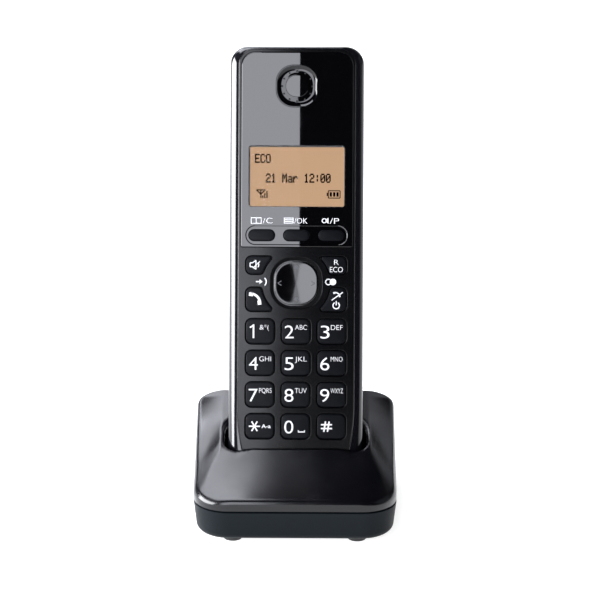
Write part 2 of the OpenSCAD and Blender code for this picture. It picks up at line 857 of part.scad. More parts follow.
module charger_pcb() {
    color(green) in_cradle() difference() {
        box([-21, board_d0, board_h], [23, board_d1, board_h + board_t]);
        for (s = [-1, 1]) translate([s * 19, board_d0 + 3, 0]) cylinder(r = 1.1, h = 20);
    }
}

module charger_contact(x) {
    in_cradle() docked() {
        box([x - 1.5, 7, -3.9], [x + 1.5, 7.5, -0.9]);
        box([x - 1.5, 9.5, -3.9], [x + 1.5, 10, -0.9]);
        box([x - 1.5, 7, -1.3], [x + 1.5, 10, -0.8]);
        translate([x - 1.5, 8.5, -0.9]) rotate([0, 90, 0]) cylinder(r = 0.6, h = 3);
    }
}

module charger_contact_left() { color(gold) charger_contact(-contact_x); }
module charger_contact_right() { color(gold) charger_contact(contact_x); }

module dc_jack() {
    color(black) in_cradle() difference() {
        union() {
            box([jack_x - jack_w / 2, jack_d0, board_h + board_t + seat],
                [jack_x + jack_w / 2, jack_d1, board_h + board_t + jack_t]);
            rod_y(jack_x, jack_h, jack_nose_r, jack_d1 - lap, jack_nose_d);
        }
        rod_y(jack_x, jack_h, jack_bore_r, jack_floor, jack_nose_d + 1);
        rod_y(jack_x, jack_h, jack_root_r + 0.01, jack_floor - jack_root_l - 0.1, jack_nose_d);
    }
}

module dc_jack_pin() {
    color(steel) in_cradle() {
        rod_y(jack_x, jack_h, jack_root_r, jack_floor - jack_root_l, jack_floor);
        rod_y(jack_x, jack_h, jack_pin_r, jack_floor - lap, jack_floor + jack_pin_l);
    }
}

module foot(x, d) {
    in_cradle() translate([x, d, 0]) {
        cylinder(r1 = foot_r, r2 = foot_r + foot_flare, h = foot_h);
        translate([0, 0, foot_h - lap]) cylinder(r = foot_r + foot_flare - 0.1, h = lap + foot_sink - seat);
    }
}

module foot_front_left() { color(black) foot(-foot_x, foot_d0); }
module foot_front_right() { color(black) foot(foot_x, foot_d0); }
module foot_rear_left() { color(black) foot(-foot_x, foot_d1); }
module foot_rear_right() { color(black) foot(foot_x, foot_d1); }

module charger_screw(x) {
    in_cradle() translate([x, base_screw_d, 0]) difference() {
        union() {
            translate([0, 0, foot_h - 0.2]) cylinder(r = screw_head_r, h = 1.2);
            translate([0, 0, foot_h + 0.8]) cylinder(r = screw_r + 0.3, h = 8);
        }
        for (a = [0, 90]) rotate([0, 0, a]) box([-1.2, -0.25, 0], [1.2, 0.25, foot_h + 0.5]);
    }
}

module charger_screw_left() { color(steel) charger_screw(-base_screw_x); }
module charger_screw_right() { color(steel) charger_screw(base_screw_x); }

charger_bottom_cover();
charger_top_cover();
charger_pcb();
charger_contact_left();
charger_contact_right();
dc_jack();
dc_jack_pin();
foot_front_left();
foot_front_right();
foot_rear_left();
foot_rear_right();
charger_screw_left();
charger_screw_right();
handset_rear_cover();
handset_front_cover();
display_panel();
display_window();
earpiece_grille();
lcd_module();
lcd_holder();
main_pcb();
rf_shield();
keypad_mat();
receiver_speaker();
loudspeaker();
microphone();
antenna();
battery_left();
battery_right();
battery_bridge();
battery_terminal_left();
battery_terminal_right();
handset_contact_left();
handset_contact_right();
handset_screw_left();
handset_screw_right();
battery_cover();
key_1();
key_2();
key_3();
key_4();
key_5();
key_6();
key_7();
key_8();
key_9();
key_star();
key_0();
key_hash();
softkey_left();
softkey_middle();
softkey_right();
key_speaker();
key_talk();
key_recall();
key_off();
navigator_key();
nav_actuator();
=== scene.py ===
"""Looks of a cordless telephone handset that stands in its desktop charging cradle."""
import json
import logging
import math
from dataclasses import dataclass, field, replace
from enum import Enum
from typing import Callable, Iterable, Sequence

import bmesh
import bpy
from mathutils import Matrix, Vector


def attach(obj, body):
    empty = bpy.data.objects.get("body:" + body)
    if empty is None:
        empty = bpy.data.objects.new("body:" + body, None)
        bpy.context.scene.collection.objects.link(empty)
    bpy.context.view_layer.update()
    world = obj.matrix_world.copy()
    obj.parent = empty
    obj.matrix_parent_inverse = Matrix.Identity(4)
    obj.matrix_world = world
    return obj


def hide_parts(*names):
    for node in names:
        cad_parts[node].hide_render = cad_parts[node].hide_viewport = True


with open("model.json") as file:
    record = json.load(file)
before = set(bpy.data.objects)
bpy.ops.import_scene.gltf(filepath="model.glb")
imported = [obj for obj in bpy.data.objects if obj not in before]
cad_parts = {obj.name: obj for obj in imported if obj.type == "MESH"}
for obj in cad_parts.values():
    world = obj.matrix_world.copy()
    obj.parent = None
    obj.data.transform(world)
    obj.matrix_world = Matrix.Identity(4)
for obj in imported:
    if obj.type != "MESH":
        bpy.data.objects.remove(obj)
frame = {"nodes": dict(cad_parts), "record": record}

LOG = logging.getLogger("telephone")
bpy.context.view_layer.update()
Point = tuple[float, float, float]
Flat = list[tuple[float, float]]
Socket = bpy.types.NodeSocket

# Driving sizes of the model, in millimetres, as in part.scad.
MM = 0.001
TILT = math.radians(20.5)
LIP_D = 24.7
LIP_H = 14.1
SEAM_H = 12.8
HIDDEN_L = 16.15
BACK_R = 400.0
BACK_Z = 85.0
HS_T = 26.0
HS_L = 160.0
END_R = 9.0
HS_D0 = LIP_D + math.cos(TILT) - HIDDEN_L * math.sin(TILT)
HS_H0 = SEAM_H + LIP_H - math.sin(TILT) - HIDDEN_L * math.cos(TILT)
HIGH_Y = HS_T - BACK_R + math.sqrt((BACK_R - END_R) ** 2 - (HS_L - END_R - BACK_Z) ** 2)
MID_D = (HS_D0 + HIGH_Y * math.cos(TILT) + (HS_L - END_R) * math.sin(TILT) + END_R) / 2

# Angles in degrees above which an edge is drawn sharp.
CREASE = 35.0
CREASE_KEY = 40.0
CREASE_SHELL = 50.0
CREASE_CABINET = 60.0
CREASE_ISLAND = 10.0
CREASE_PANEL = 4.0

# Height of a capital in the built-in face, as a share of its size.
CAPITAL = 0.729

SCALE = Matrix.Scale(MM, 4)
CRADLE = SCALE @ Matrix.Translation((0, -MID_D, 0))
HANDSET = SCALE @ Matrix.Translation((0, HS_D0 - MID_D, HS_H0)) @ Matrix.Rotation(-TILT, 4, "X")


# ---- Meshes ----


class Cut(Enum):
    """Ways in which one closed mesh acts on another."""

    TAKE = "DIFFERENCE"
    ADD = "UNION"
    KEEP = "INTERSECT"


@dataclass(frozen=True)
class Outline:
    """Closed mirrored outline with round corners, which starts at the middle of its lower end."""

    half_w: float
    z0: float
    z1: float
    r_low: float
    r_high: float
    ends: int = 3
    sides: int = 6
    corners: int = 8

    def grown(self, g: float) -> "Outline":
        """Grows the outline.

        Args:
            g: distance outwards.

        Returns:
            The grown outline.
        """
        return replace(
            self,
            half_w=self.half_w + g,
            z0=self.z0 - g,
            z1=self.z1 + g,
            r_low=max(self.r_low + g, 0.08),
            r_high=max(self.r_high + g, 0.08),
        )

    def points(self, taper: Callable[[float], float] | None = None) -> Flat:
        """Lists the outline's points, anticlockwise.

        Args:
            taper: how much the half width shrinks at a given height.

        Returns:
            Pairs of (x, z).
        """
        right: Flat = []
        low_x = self.half_w - self.r_low
        high_x = self.half_w - self.r_high
        for i in range(self.ends):
            right.append((low_x * i / self.ends, self.z0))
        for i in range(self.corners):
            a = math.pi / 2 * i / self.corners
            right.append((low_x + self.r_low * math.sin(a), self.z0 + self.r_low * (1 - math.cos(a))))
        span = self.z1 - self.r_high - self.z0 - self.r_low
        for i in range(self.sides):
            right.append((self.half_w, self.z0 + self.r_low + span * i / self.sides))
        for i in range(self.corners):
            a = math.pi / 2 * i / self.corners
            right.append((high_x + self.r_high * math.cos(a), self.z1 - self.r_high * (1 - math.sin(a))))
        for i in range(self.ends + 1):
            right.append((high_x * (1 - i / self.ends), self.z1))
        if taper is not None:
            right = [(x - taper(z) * x / self.half_w, z) for x, z in right]
        left = [(-x, z) for x, z in reversed(right[1:-1])]
        return right + left


def rect(w: float, h: float, r: float, cx: float = 0.0, cz: float = 0.0, corners: int = 8) -> Flat:
    """Lists the points of a rectangle with round corners.

    Args:
        w: width.
        h: height.
        r: corner radius.
        cx: place of its middle, sideways.
        cz: place of its middle, upwards.
        corners: steps in a corner.

    Returns:
        Pairs of (x, z).
    """
    flat = Outline(w / 2, -h / 2, h / 2, r, r, 2, 2, corners).points()
    return [(x + cx, z + cz) for x, z in flat]


def inset(flat: Flat, g: float) -> Flat:
    """Moves an outline's points inwards along its normals.

    Args:
        flat: an anticlockwise outline.
        g: distance inwards.

    Returns:
        The moved points, in the same order.
    """
    moved: Flat = []
    n = len(flat)
    for i, (x, z) in enumerate(flat):
        ax, az = flat[i - 1]
        bx, bz = flat[(i + 1) % n]
        dx, dz = bx - ax, bz - az
        d = math.hypot(dx, dz) or 1.0
        moved.append((x - dz / d * g, z + dx / d * g))
    return moved


def toward(flat: Flat, centre: tuple[float, float], share: float) -> Flat:
    """Shrinks an outline towards a point, to the given share of its size."""
    cx, cz = centre
    return [(cx + (x - cx) * share, cz + (z - cz) * share) for x, z in flat]


class Draft:
    """Points and faces of a closed mesh, in millimetres."""

    def __init__(self) -> None:
        """Starts with nothing."""
        self.points: list[Point] = []
        self.faces: list[tuple[int, ...]] = []

    def ring(self, points: Iterable[Point]) -> list[int]:
        """Adds a ring of points.

        Args:
            points: the points, in order.

        Returns:
            Their numbers.
        """
        start = len(self.points)
        self.points.extend(points)
        return list(range(start, len(self.points)))

    def level(self, flat: Flat, y: float) -> list[int]:
        """Adds an outline at one depth and returns its ring."""
        return self.ring((x, y, z) for x, z in flat)

    def bridge(self, a: Sequence[int], b: Sequence[int]) -> None:
        """Joins two rings of the same count with quads.

        Args:
            a: the first ring.
            b: the second ring.
        """
        n = len(a)
        for i in range(n):
            j = (i + 1) % n
            self.faces.append((a[i], a[j], b[j], b[i]))

    def zip(self, ring: Sequence[int]) -> None:
        """Closes a mirrored ring with strips from its right side to its left side.

        Args:
            ring: the ring, from the middle of its lower end.
        """
        n = len(ring)
        half = n // 2
        self.faces.append((ring[0], ring[1], ring[n - 1]))
        for i in range(1, half - 1):
            self.faces.append((ring[i], ring[i + 1], ring[n - i - 1], ring[n - i]))
        self.faces.append((ring[half - 1], ring[half], ring[half + 1]))

    def fan(self, ring: Sequence[int], centre: Point) -> None:
        """Closes a ring with triangles to a middle point.

        Args:
            ring: the ring.
            centre: the middle point.
        """
        (c,) = self.ring([centre])
        n = len(ring)
        for i in range(n):
            self.faces.append((ring[i], ring[(i + 1) % n], c))

    def stack(self, rings: Sequence[Sequence[int]]) -> None:
        """Joins each ring to the next."""
        for a, b in zip(rings, rings[1:]):
            self.bridge(a, b)

    def made(self, name: str, place: Matrix, crease: float = CREASE) -> bpy.types.Object:
        """Makes the mesh object.

        Args:
            name: the piece's name.
            place: matrix from the draft's frame to the world's.
            crease: angle in degrees above which an edge is drawn sharp.

        Returns:
            The new object, linked to the scene.
        """
        mesh = bpy.data.meshes.new(name)
        mesh.from_pydata([place @ Vector(p) for p in self.points], [], self.faces)
        obj = bpy.data.objects.new(name, mesh)
        bpy.context.scene.collection.objects.link(obj)
        smooth(obj, crease)
        return obj


def smooth(obj: bpy.types.Object, crease: float = CREASE) -> None:
    """Makes a mesh's normals face outwards and shades it smooth up to an angle.

    Args:
        obj: the mesh object.
        crease: angle in degrees above which an edge is drawn sharp.
    """
    bm = bmesh.new()
    bm.from_mesh(obj.data)
    bmesh.ops.recalc_face_normals(bm, faces=bm.faces)
    for f in bm.faces:
        f.smooth = True
    bm.to_mesh(obj.data)
    bm.free()
    obj.data.set_sharp_from_angle(angle=math.radians(crease))


def settle(obj: bpy.types.Object) -> None:
    """Turns an object's modifiers into its own mesh.

    Args:
        obj: the mesh object.
    """
    graph = bpy.context.evaluated_depsgraph_get()
    mesh = bpy.data.meshes.new_from_object(obj.evaluated_get(graph))
    obj.modifiers.clear()
    old = obj.data
    obj.data = mesh
    bpy.data.meshes.remove(old)
    mesh.name = obj.name


def cut(obj: bpy.types.Object, tools: Sequence[bpy.types.Object], how: Cut, crease: float = CREASE) -> None:
    """Cuts or joins closed meshes and removes the tools.

    Args:
        obj: the mesh that stays.
        tools: the meshes that act on it, one after another.
        how: what they do.
        crease: angle in degrees above which an edge is drawn sharp.
    """
    for tool in tools:
        mod = obj.modifiers.new("cut", "BOOLEAN")
        mod.operation = how.value
        mod.object = tool
        mod.solver = "MANIFOLD"
    bpy.context.view_layer.update()
    settle(obj)
    for tool in tools:
        mesh = tool.data
        bpy.data.objects.remove(tool)
        bpy.data.meshes.remove(mesh)
    smooth(obj, crease)


def even(obj: bpy.types.Object) -> None:
    """Weights a cut mesh's normals by face area, so that flats next to cuts stay flat.

    Args:
        obj: the mesh object.
    """
    mod = obj.modifiers.new("even", "WEIGHTED_NORMAL")
    mod.keep_sharp = True
    settle(obj)


def prism(
    flat: Flat,
    y0: float,
    y1: float,
    place: Matrix,
    flare: float = 0.0,
    name: str = "tool",
) -> bpy.types.Object:
    """Makes a cutting block with the given outline.

    Args:
        flat: its outline.
        y0: depth of its front.
        y1: depth of its back.
        place: matrix to the world's frame.
        flare: radius of the round edge that it leaves where it enters at depth 0.
        name: name of the object.

    Returns:
        The block.
    """
    draft = Draft()
    rings = [draft.level(inset(flat, -flare), y0)]
    if flare > 0:
        steps = 4
        for i in range(steps + 1):
            a = math.pi / 2 * i / steps
            rings.append(draft.level(inset(flat, -flare * (1 - math.sin(a))), flare * (1 - math.cos(a))))
    rings.append(draft.level(flat, y1))
    draft.stack(rings)
    draft.zip(rings[0])
    draft.zip(rings[-1])
    return draft.made(name, place)


def lathe(
    name: str,
    profile: Sequence[tuple[float, float]],
    place: Matrix,
    steps: int = 48,
) -> bpy.types.Object:
    """Turns a profile about the upright axis.

    Args:
        name: the piece's name.
        profile: pairs of (radius, height), from the lower end to the upper end.
        place: matrix to the world's frame.
        steps: steps round the axis.

    Returns:
        The closed mesh.
    """
    draft = Draft()
    rings = []
    for r, h in profile:
        turn = [2 * math.pi * i / steps for i in range(steps)]
        rings.append(draft.ring((r * math.cos(a), r * math.sin(a), h) for a in turn))
    draft.stack(rings)
    draft.fan(rings[0], (0, 0, profile[0][1]))
    draft.fan(rings[-1], (0, 0, profile[-1][1]))
    return draft.made(name, place)


# ---- Finishes ----


class Group:
    """Builds shader node groups that several finishes share."""

    cache: dict[str, bpy.types.NodeTree] = {}
    patches_per_m: float = 900.0

    @classmethod
    def tree(cls, name: str, ins: dict[str, float], outs: Sequence[str]) -> tuple[bpy.types.NodeTree, bool]:
        """Finds or starts a group.

        Args:
            name: the group's name.
            ins: its number inputs and their defaults.
            outs: its number outputs.

        Returns:
            The group and whether it is new.
        """
        if name in cls.cache:
            return cls.cache[name], False
        tree = bpy.data.node_groups.new(name, "ShaderNodeTree")
        for key, value in ins.items():
            socket = tree.interface.new_socket(key, in_out="INPUT", socket_type="NodeSocketFloat")
            socket.default_value = value
        for key in outs:
            tree.interface.new_socket(key, in_out="OUTPUT", socket_type="NodeSocketFloat")
        cls.cache[name] = tree
        return tree, True

    @classmethod
    def grain(cls) -> bpy.types.NodeTree:
        """Makes the moulded grain: fine pits with a little slower unevenness.

        Returns:
            The group.
        """
        ins = {"Grain size": 0.2, "Wave size": 8.0, "Wave share": 0.3}
        tree, new = cls.tree("moulded_grain", ins, ["Height"])
        if not new:
            return tree
        kit = Nodes(tree)
        given = kit.add("NodeGroupInput")
        where = kit.add("ShaderNodeTexCoord")
        fine = kit.noise(where.outputs["Object"], kit.per_mm(given.outputs["Grain size"]), 3.0)
        slow = kit.noise(where.outputs["Object"], kit.per_mm(given.outputs["Wave size"]), 1.0)
        mixed = kit.mix(given.outputs["Wave share"], fine, slow)
        kit.link(mixed, kit.add("NodeGroupOutput").inputs["Height"])
        return tree

    @classmethod
    def smudge(cls) -> bpy.types.NodeTree:
        """Makes the uneven gloss of a handled surface.

        Returns:
            The group.
        """
        tree, new = cls.tree("handled_gloss", {"Low": 0.1, "High": 0.2, "Size": 14.0}, ["Roughness"])
        if not new:
            return tree
        kit = Nodes(tree)
        given = kit.add("NodeGroupInput")
        where = kit.add("ShaderNodeTexCoord")
        cloud = kit.noise(where.outputs["Object"], kit.per_mm(given.outputs["Size"]), 4.0)
        span = kit.add("ShaderNodeMapRange")
        span.interpolation_type = "SMOOTHSTEP"
        span.inputs["From Min"].default_value = 0.35
        span.inputs["From Max"].default_value = 0.7
        kit.link(cloud, span.inputs["Value"])
        kit.link(given.outputs["Low"], span.inputs["To Min"])
        kit.link(given.outputs["High"], span.inputs["To Max"])
        kit.link(span.outputs["Result"], kit.add("NodeGroupOutput").inputs["Roughness"])
        return tree

    @classmethod
    def crown(cls) -> bpy.types.NodeTree:
        """Makes a very shallow crown, across the width and along the handset's axis, in metres.

        Returns:
            The group.
        """
        ins = {"Across": 0.0, "Middle": 0.0, "Along": 0.0, "Start": 0.0}
        tree, new = cls.tree("shallow_crown", ins, ["Height"])
        if not new:
            return tree
        kit = Nodes(tree)
        given = kit.add("NodeGroupInput")
        where = kit.add("ShaderNodeTexCoord")
        split = kit.add("ShaderNodeSeparateXYZ")
        kit.link(where.outputs["Object"], split.inputs[0])
        axis = kit.add("ShaderNodeVectorMath")
        axis.operation = "DOT_PRODUCT"
        axis.inputs[1].default_value = (0, math.sin(TILT), math.cos(TILT))
        kit.link(where.outputs["Object"], axis.inputs[0])
        aside = kit.math("SUBTRACT", split.outputs["X"], given.outputs["Middle"])
        along = kit.math("MINIMUM", kit.math("SUBTRACT", axis.outputs["Value"], given.outputs["Start"]), 0.0)
        wide = kit.math("MULTIPLY", kit.math("MULTIPLY", aside, aside), given.outputs["Across"])
        tall = kit.math("MULTIPLY", kit.math("MULTIPLY", along, along), given.outputs["Along"])
        total = kit.math("MULTIPLY", kit.math("ADD", wide, tall), -1.0)
        kit.link(total, kit.add("NodeGroupOutput").inputs["Height"])
        return tree

    @classmethod
    def wear(cls) -> bpy.types.NodeTree:
        """Makes the mask of edges that hands and tables rub.

        Returns:
            The group.
        """
        tree, new = cls.tree("rubbed_edges", {"Amount": 0.3}, ["Mask"])
        if not new:
            return tree
        kit = Nodes(tree)
        given = kit.add("NodeGroupInput")
        shape = kit.add("ShaderNodeNewGeometry")
        where = kit.add("ShaderNodeTexCoord")
        patchy = kit.noise(where.outputs["Object"], kit.number(cls.patches_per_m), 2.0)
        edge = kit.add("ShaderNodeMapRange")
        edge.inputs["From Min"].default_value = 0.53
        edge.inputs["From Max"].default_value = 0.62
        kit.link(shape.outputs["Pointiness"], edge.inputs["Value"])
        rubbed = kit.math("MULTIPLY", edge.outputs["Result"], patchy)
        amount = kit.math("MULTIPLY", rubbed, given.outputs["Amount"])
        kit.link(amount, kit.add("NodeGroupOutput").inputs["Mask"])
        return tree


class Nodes:
    """Adds and links nodes in one node tree."""

    def __init__(self, tree: bpy.types.NodeTree) -> None:
        """Keeps the tree."""
        self.tree = tree

    def add(self, kind: str) -> bpy.types.Node:
        """Adds a node of a kind."""
        return self.tree.nodes.new(kind)

    def link(self, a: Socket, b: Socket) -> None:
        """Links an output to an input."""
        self.tree.links.new(a, b)

    def number(self, value: float) -> Socket:
        """Adds a number.

        Args:
            value: the number.

        Returns:
            Its socket.
        """
        node = self.add("ShaderNodeValue")
        node.outputs[0].default_value = value
        return node.outputs[0]

    def math(self, how: str, a: Socket, b: Socket | float) -> Socket:
        """Works out one step of arithmetic.

        Args:
            how: the operation.
            a: the first value.
            b: the second value, as a socket or a number.

        Returns:
            The result's socket.
        """
        node = self.add("ShaderNodeMath")
        node.operation = how
        self.link(a, node.inputs[0])
        if isinstance(b, (int, float)):
            node.inputs[1].default_value = b
        else:
            self.link(b, node.inputs[1])
        return node.outputs[0]

    def per_mm(self, size: Socket) -> Socket:
        """Turns a size in millimetres into a texture scale per metre.

        Args:
            size: the size's socket.

        Returns:
            The scale's socket.
        """
        node = self.add("ShaderNodeMath")
        node.operation = "DIVIDE"
        node.inputs[0].default_value = 1 / MM
        self.link(size, node.inputs[1])
        return node.outputs[0]

    def noise(self, where: Socket, scale: Socket, detail: float) -> Socket:
        """Adds a noise texture.

        Args:
            where: coordinates.
            scale: its scale, per metre.
            detail: its detail.

        Returns:
            Its value from 0 to 1.
        """
        node = self.add("ShaderNodeTexNoise")
        node.inputs["Detail"].default_value = detail
        self.link(where, node.inputs["Vector"])
        self.link(scale, node.inputs["Scale"])
        return node.outputs["Fac"]

    def mix(self, share: Socket, a: Socket, b: Socket) -> Socket:
        """Blends two numbers.

        Args:
            share: share of the second.
            a: the first.
            b: the second.

        Returns:
            The blend's socket.
        """
        node = self.add("ShaderNodeMix")
        node.data_type = "FLOAT"
        self.link(share, node.inputs[0])
        self.link(a, node.inputs[2])
        self.link(b, node.inputs[3])
        return node.outputs[0]

    def shade(self, share: Socket, a: Sequence[float], b: Sequence[float]) -> Socket:
        """Blends two colours.

        Args:
            share: share of the second.
            a: the first colour.
            b: the second colour.

        Returns:
            The colour's socket.
        """
        node = self.add("ShaderNodeMix")
        node.data_type = "RGBA"
        self.link(share, node.inputs[0])
        node.inputs[6].default_value = (*a, 1.0)
        node.inputs[7].default_value = (*b, 1.0)
        return node.outputs[2]


@dataclass(frozen=True)
class Finish:
    """A surface: colour, gloss, grain, wear and painted glow."""

    name: str
    color: tuple[float, float, float]
    rough: tuple[float, float] = (0.3, 0.4)
    metallic: float = 0.0
    ior: float = 1.5
    grain_mm: float = 0.25
    grain_depth: float = 0.02
    wave_share: float = 0.2
    wear: float = 0.25
    clear: float = 0.0
    painted_glow: float = 0.0
    mottle: float = 0.15
    crown: tuple[float, float, float, float] = (0.0, 0.0, 0.0, 0.0)

    def material(self) -> bpy.types.Material:
        """Makes this finish's material, once.

        Returns:
            The material.
        """
        found = bpy.data.materials.get(self.name)
        if found is not None and found.get("ready"):
            return found
        mat = bpy.data.materials.new(self.name)
        mat["ready"] = True
        mat.use_nodes = True
        kit = Nodes(mat.node_tree)
        shader = mat.node_tree.nodes["Principled BSDF"]
        shader.inputs["Metallic"].default_value = self.metallic
        shader.inputs["IOR"].default_value = self.ior
        shader.inputs["Transmission Weight"].default_value = self.clear
        shader.inputs["Base Color"].default_value = (*self.color, 1)

        gloss = kit.add("ShaderNodeGroup")
        gloss.node_tree = Group.smudge()
        gloss.inputs["Low"].default_value = self.rough[0]
        gloss.inputs["High"].default_value = self.rough[1]
        kit.link(gloss.outputs["Roughness"], shader.inputs["Roughness"])

        grain = kit.add("ShaderNodeGroup")
        grain.node_tree = Group.grain()
        grain.inputs["Grain size"].default_value = self.grain_mm
        grain.inputs["Wave share"].default_value = self.wave_share
        normal = None
        if any(self.crown):
            arch = kit.add("ShaderNodeGroup")
            arch.node_tree = Group.crown()
            for key, value in zip(("Across", "Middle", "Along", "Start"), self.crown):
                arch.inputs[key].default_value = value
            bend = kit.add("ShaderNodeBump")
            bend.inputs["Distance"].default_value = 1.0
            kit.link(arch.outputs["Height"], bend.inputs["Height"])
            normal = bend.outputs["Normal"]
        if self.grain_depth > 0:
            bump = kit.add("ShaderNodeBump")
            bump.inputs["Distance"].default_value = self.grain_depth * MM
            kit.link(grain.outputs["Height"], bump.inputs["Height"])
            if normal is not None:
                kit.link(normal, bump.inputs["Normal"])
            normal = bump.outputs["Normal"]
        if normal is not None:
            kit.link(normal, shader.inputs["Normal"])

        if self.clear == 0.0:
            # A part with painted glow gets a nearly black base, so that its colour comes from the painted
            # light alone.
            base = tuple(c * (0.02 if self.painted_glow else 1.0) for c in self.color)
            worn = tuple(min(1.0, c * 2.2 + 0.004) for c in base)
            deep = tuple(c * (1 - self.mottle) for c in base)
            edges = kit.add("ShaderNodeGroup")
            edges.node_tree = Group.wear()
            edges.inputs["Amount"].default_value = self.wear
            tone = kit.shade(grain.outputs["Height"], deep, base)
            rub = kit.add("ShaderNodeMix")
            rub.data_type = "RGBA"
            kit.link(edges.outputs["Mask"], rub.inputs[0])
            kit.link(tone, rub.inputs[6])
            rub.inputs[7].default_value = (*worn, 1)
            kit.link(rub.outputs[2], shader.inputs["Base Color"])
        # Painted glow: emission in the display's lit colour stands in for the studio light that the clear
        # window keeps from it.
        if self.painted_glow > 0:
            deep = tuple(c * (1 - self.mottle) for c in self.color)
            shader.inputs["Emission Strength"].default_value = self.painted_glow
            kit.link(kit.shade(grain.outputs["Height"], deep, self.color), shader.inputs["Emission Color"])
        return mat

    def dress(self, obj: bpy.types.Object) -> None:
        """Gives an object this finish in all its slots.

        Args:
            obj: the mesh object.
        """
        if obj.material_slots:
            for each in obj.material_slots:
                each.material = self.material()
        else:
            obj.data.materials.append(self.material())


# The deep black of the glossy mouldings.
JET = (0.0008, 0.0008, 0.0011)


@dataclass(frozen=True)
class Finishes:
    """All the finishes of the telephone."""

    rear_gloss: Finish = Finish(
        "rear_gloss", (0.004, 0.004, 0.0055), (0.07, 0.12), grain_depth=0.0015, grain_mm=1.5, wear=0.1
    )
    panel_gloss: Finish = Finish("panel_gloss", JET, (0.004, 0.012), grain_depth=0.0, wear=0.05)
    ear_gloss: Finish = Finish("earpiece_gloss", JET, (0.03, 0.05), ior=1.42, grain_depth=0.0, wear=0.05)
    nav_gloss: Finish = Finish("nav_gloss", JET, (0.06, 0.1), grain_depth=0.0, wear=0.05)
    front_satin: Finish = Finish(
        "front_satin",
        (0.0014, 0.0015, 0.002),
        (0.23, 0.28),
        ior=1.31,
        grain_depth=0.004,
        wear=0.12,
        crown=(3.9, -0.0115, 1.0, 0.085),
    )
    key_plastic: Finish = Finish(
        "key_plastic",
        (0.0018, 0.0022, 0.0034),
        (0.4, 0.48),
        ior=1.175,
        grain_depth=0.01,
        grain_mm=0.3,
        wear=0.08,
        crown=(2.4, -0.0115, 0.8, 0.085),
    )
    cradle_upper: Finish = Finish(
        "cradle_upper",
        (0.002, 0.002, 0.003),
        (0.2, 0.27),
        ior=1.43,
        grain_depth=0.004,
        grain_mm=0.4,
        wear=0.1,
        crown=(2.6, -0.012, 0.0, 0.0),
    )
    cradle_lower: Finish = Finish(
        "cradle_lower",
        (0.0028, 0.005, 0.0068),
        (0.42, 0.5),
        ior=1.2,
        grain_depth=0.008,
        grain_mm=0.3,
        wear=0.12,
    )
    print_white: Finish = Finish(
        "print_white", (0.6, 0.6, 0.61), (0.5, 0.6), grain_depth=0.0, wear=0.0, mottle=0.04
    )
    # Dull black for the ring in the moat round the navigator: painted shade of that recess.
    shadow: Finish = Finish(
        "painted_shade_black", (0.001, 0.001, 0.0014), (0.5, 0.6), ior=1.15, grain_depth=0.004, wear=0.0
    )
    # Grey of the navigator's raised marks: painted highlight, for the light that these small bumps catch.
    painted_highlight_grey: Finish = Finish(
        "painted_highlight_grey", (0.035, 0.035, 0.04), (0.4, 0.5), grain_depth=0.0, wear=0.0, mottle=0.04
    )
    window: Finish = Finish(
        "window_clear", (1.0, 1.0, 1.0), (0.0, 0.0), clear=1.0, ior=1.06, grain_depth=0.0, wear=0.0
    )
    # The display's colour is painted light: it glows in its lit colour instead of being lit through the
    # window.
    lcd: Finish = Finish(
        "lcd_glass",
        (0.66, 0.42, 0.255),
        (0.5, 0.6),
        ior=1.01,
        grain_depth=0.0,
        wear=0.0,
        mottle=0.1,
        painted_glow=0.86,
    )
    lcd_ink: Finish = Finish(
        "lcd_ink", (0.004, 0.0012, 0.0008), (0.6, 0.7), ior=1.02, grain_depth=0.0, wear=0.0
    )
    foot_rubber: Finish = Finish("foot_rubber", (0.012, 0.012, 0.013), (0.7, 0.8), grain_depth=0.02, wear=0.2)
    mat_rubber: Finish = Finish("mat_rubber", (0.2, 0.2, 0.22), (0.6, 0.7), grain_depth=0.01)
    board: Finish = Finish(
        "circuit_board", (0.015, 0.13, 0.05), (0.25, 0.4), grain_depth=0.02, grain_mm=0.8, mottle=0.5
    )
    gold: Finish = Finish("contact_gold", (0.75, 0.55, 0.22), (0.2, 0.35), metallic=1.0, grain_depth=0.004)
    nickel: Finish = Finish("nickel", (0.62, 0.62, 0.63), (0.2, 0.35), metallic=1.0, grain_depth=0.004)
    screw: Finish = Finish("screw_steel", (0.5, 0.5, 0.52), (0.25, 0.4), metallic=1.0, grain_depth=0.006)
    cell: Finish = Finish("cell_jacket", (0.05, 0.22, 0.09), (0.2, 0.3), grain_depth=0.003, grain_mm=1.0)
    black: Finish = Finish("black_moulding", (0.012, 0.012, 0.013), (0.4, 0.55), grain_depth=0.012)
    white: Finish = Finish("white_moulding", (0.75, 0.75, 0.72), (0.4, 0.5), grain_depth=0.01)


FINISH = Finishes()


def place_piece(obj: bpy.types.Object, finish: Finish, body: str, slot: str, *nodes: str) -> None:
    """Dresses a finished piece and ties it to the frame.

    Args:
        obj: the piece.
        finish: its finish.
        body: the CAD body that it rides on.
        slot: the record's material slot; not used.
        nodes: the CAD nodes that it stands for.
    """
    finish.dress(obj)
    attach(obj, body)
    if nodes:
        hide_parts(*nodes)
    LOG.info("%s rides on %s", obj.name, body)


# ---- Legends ----


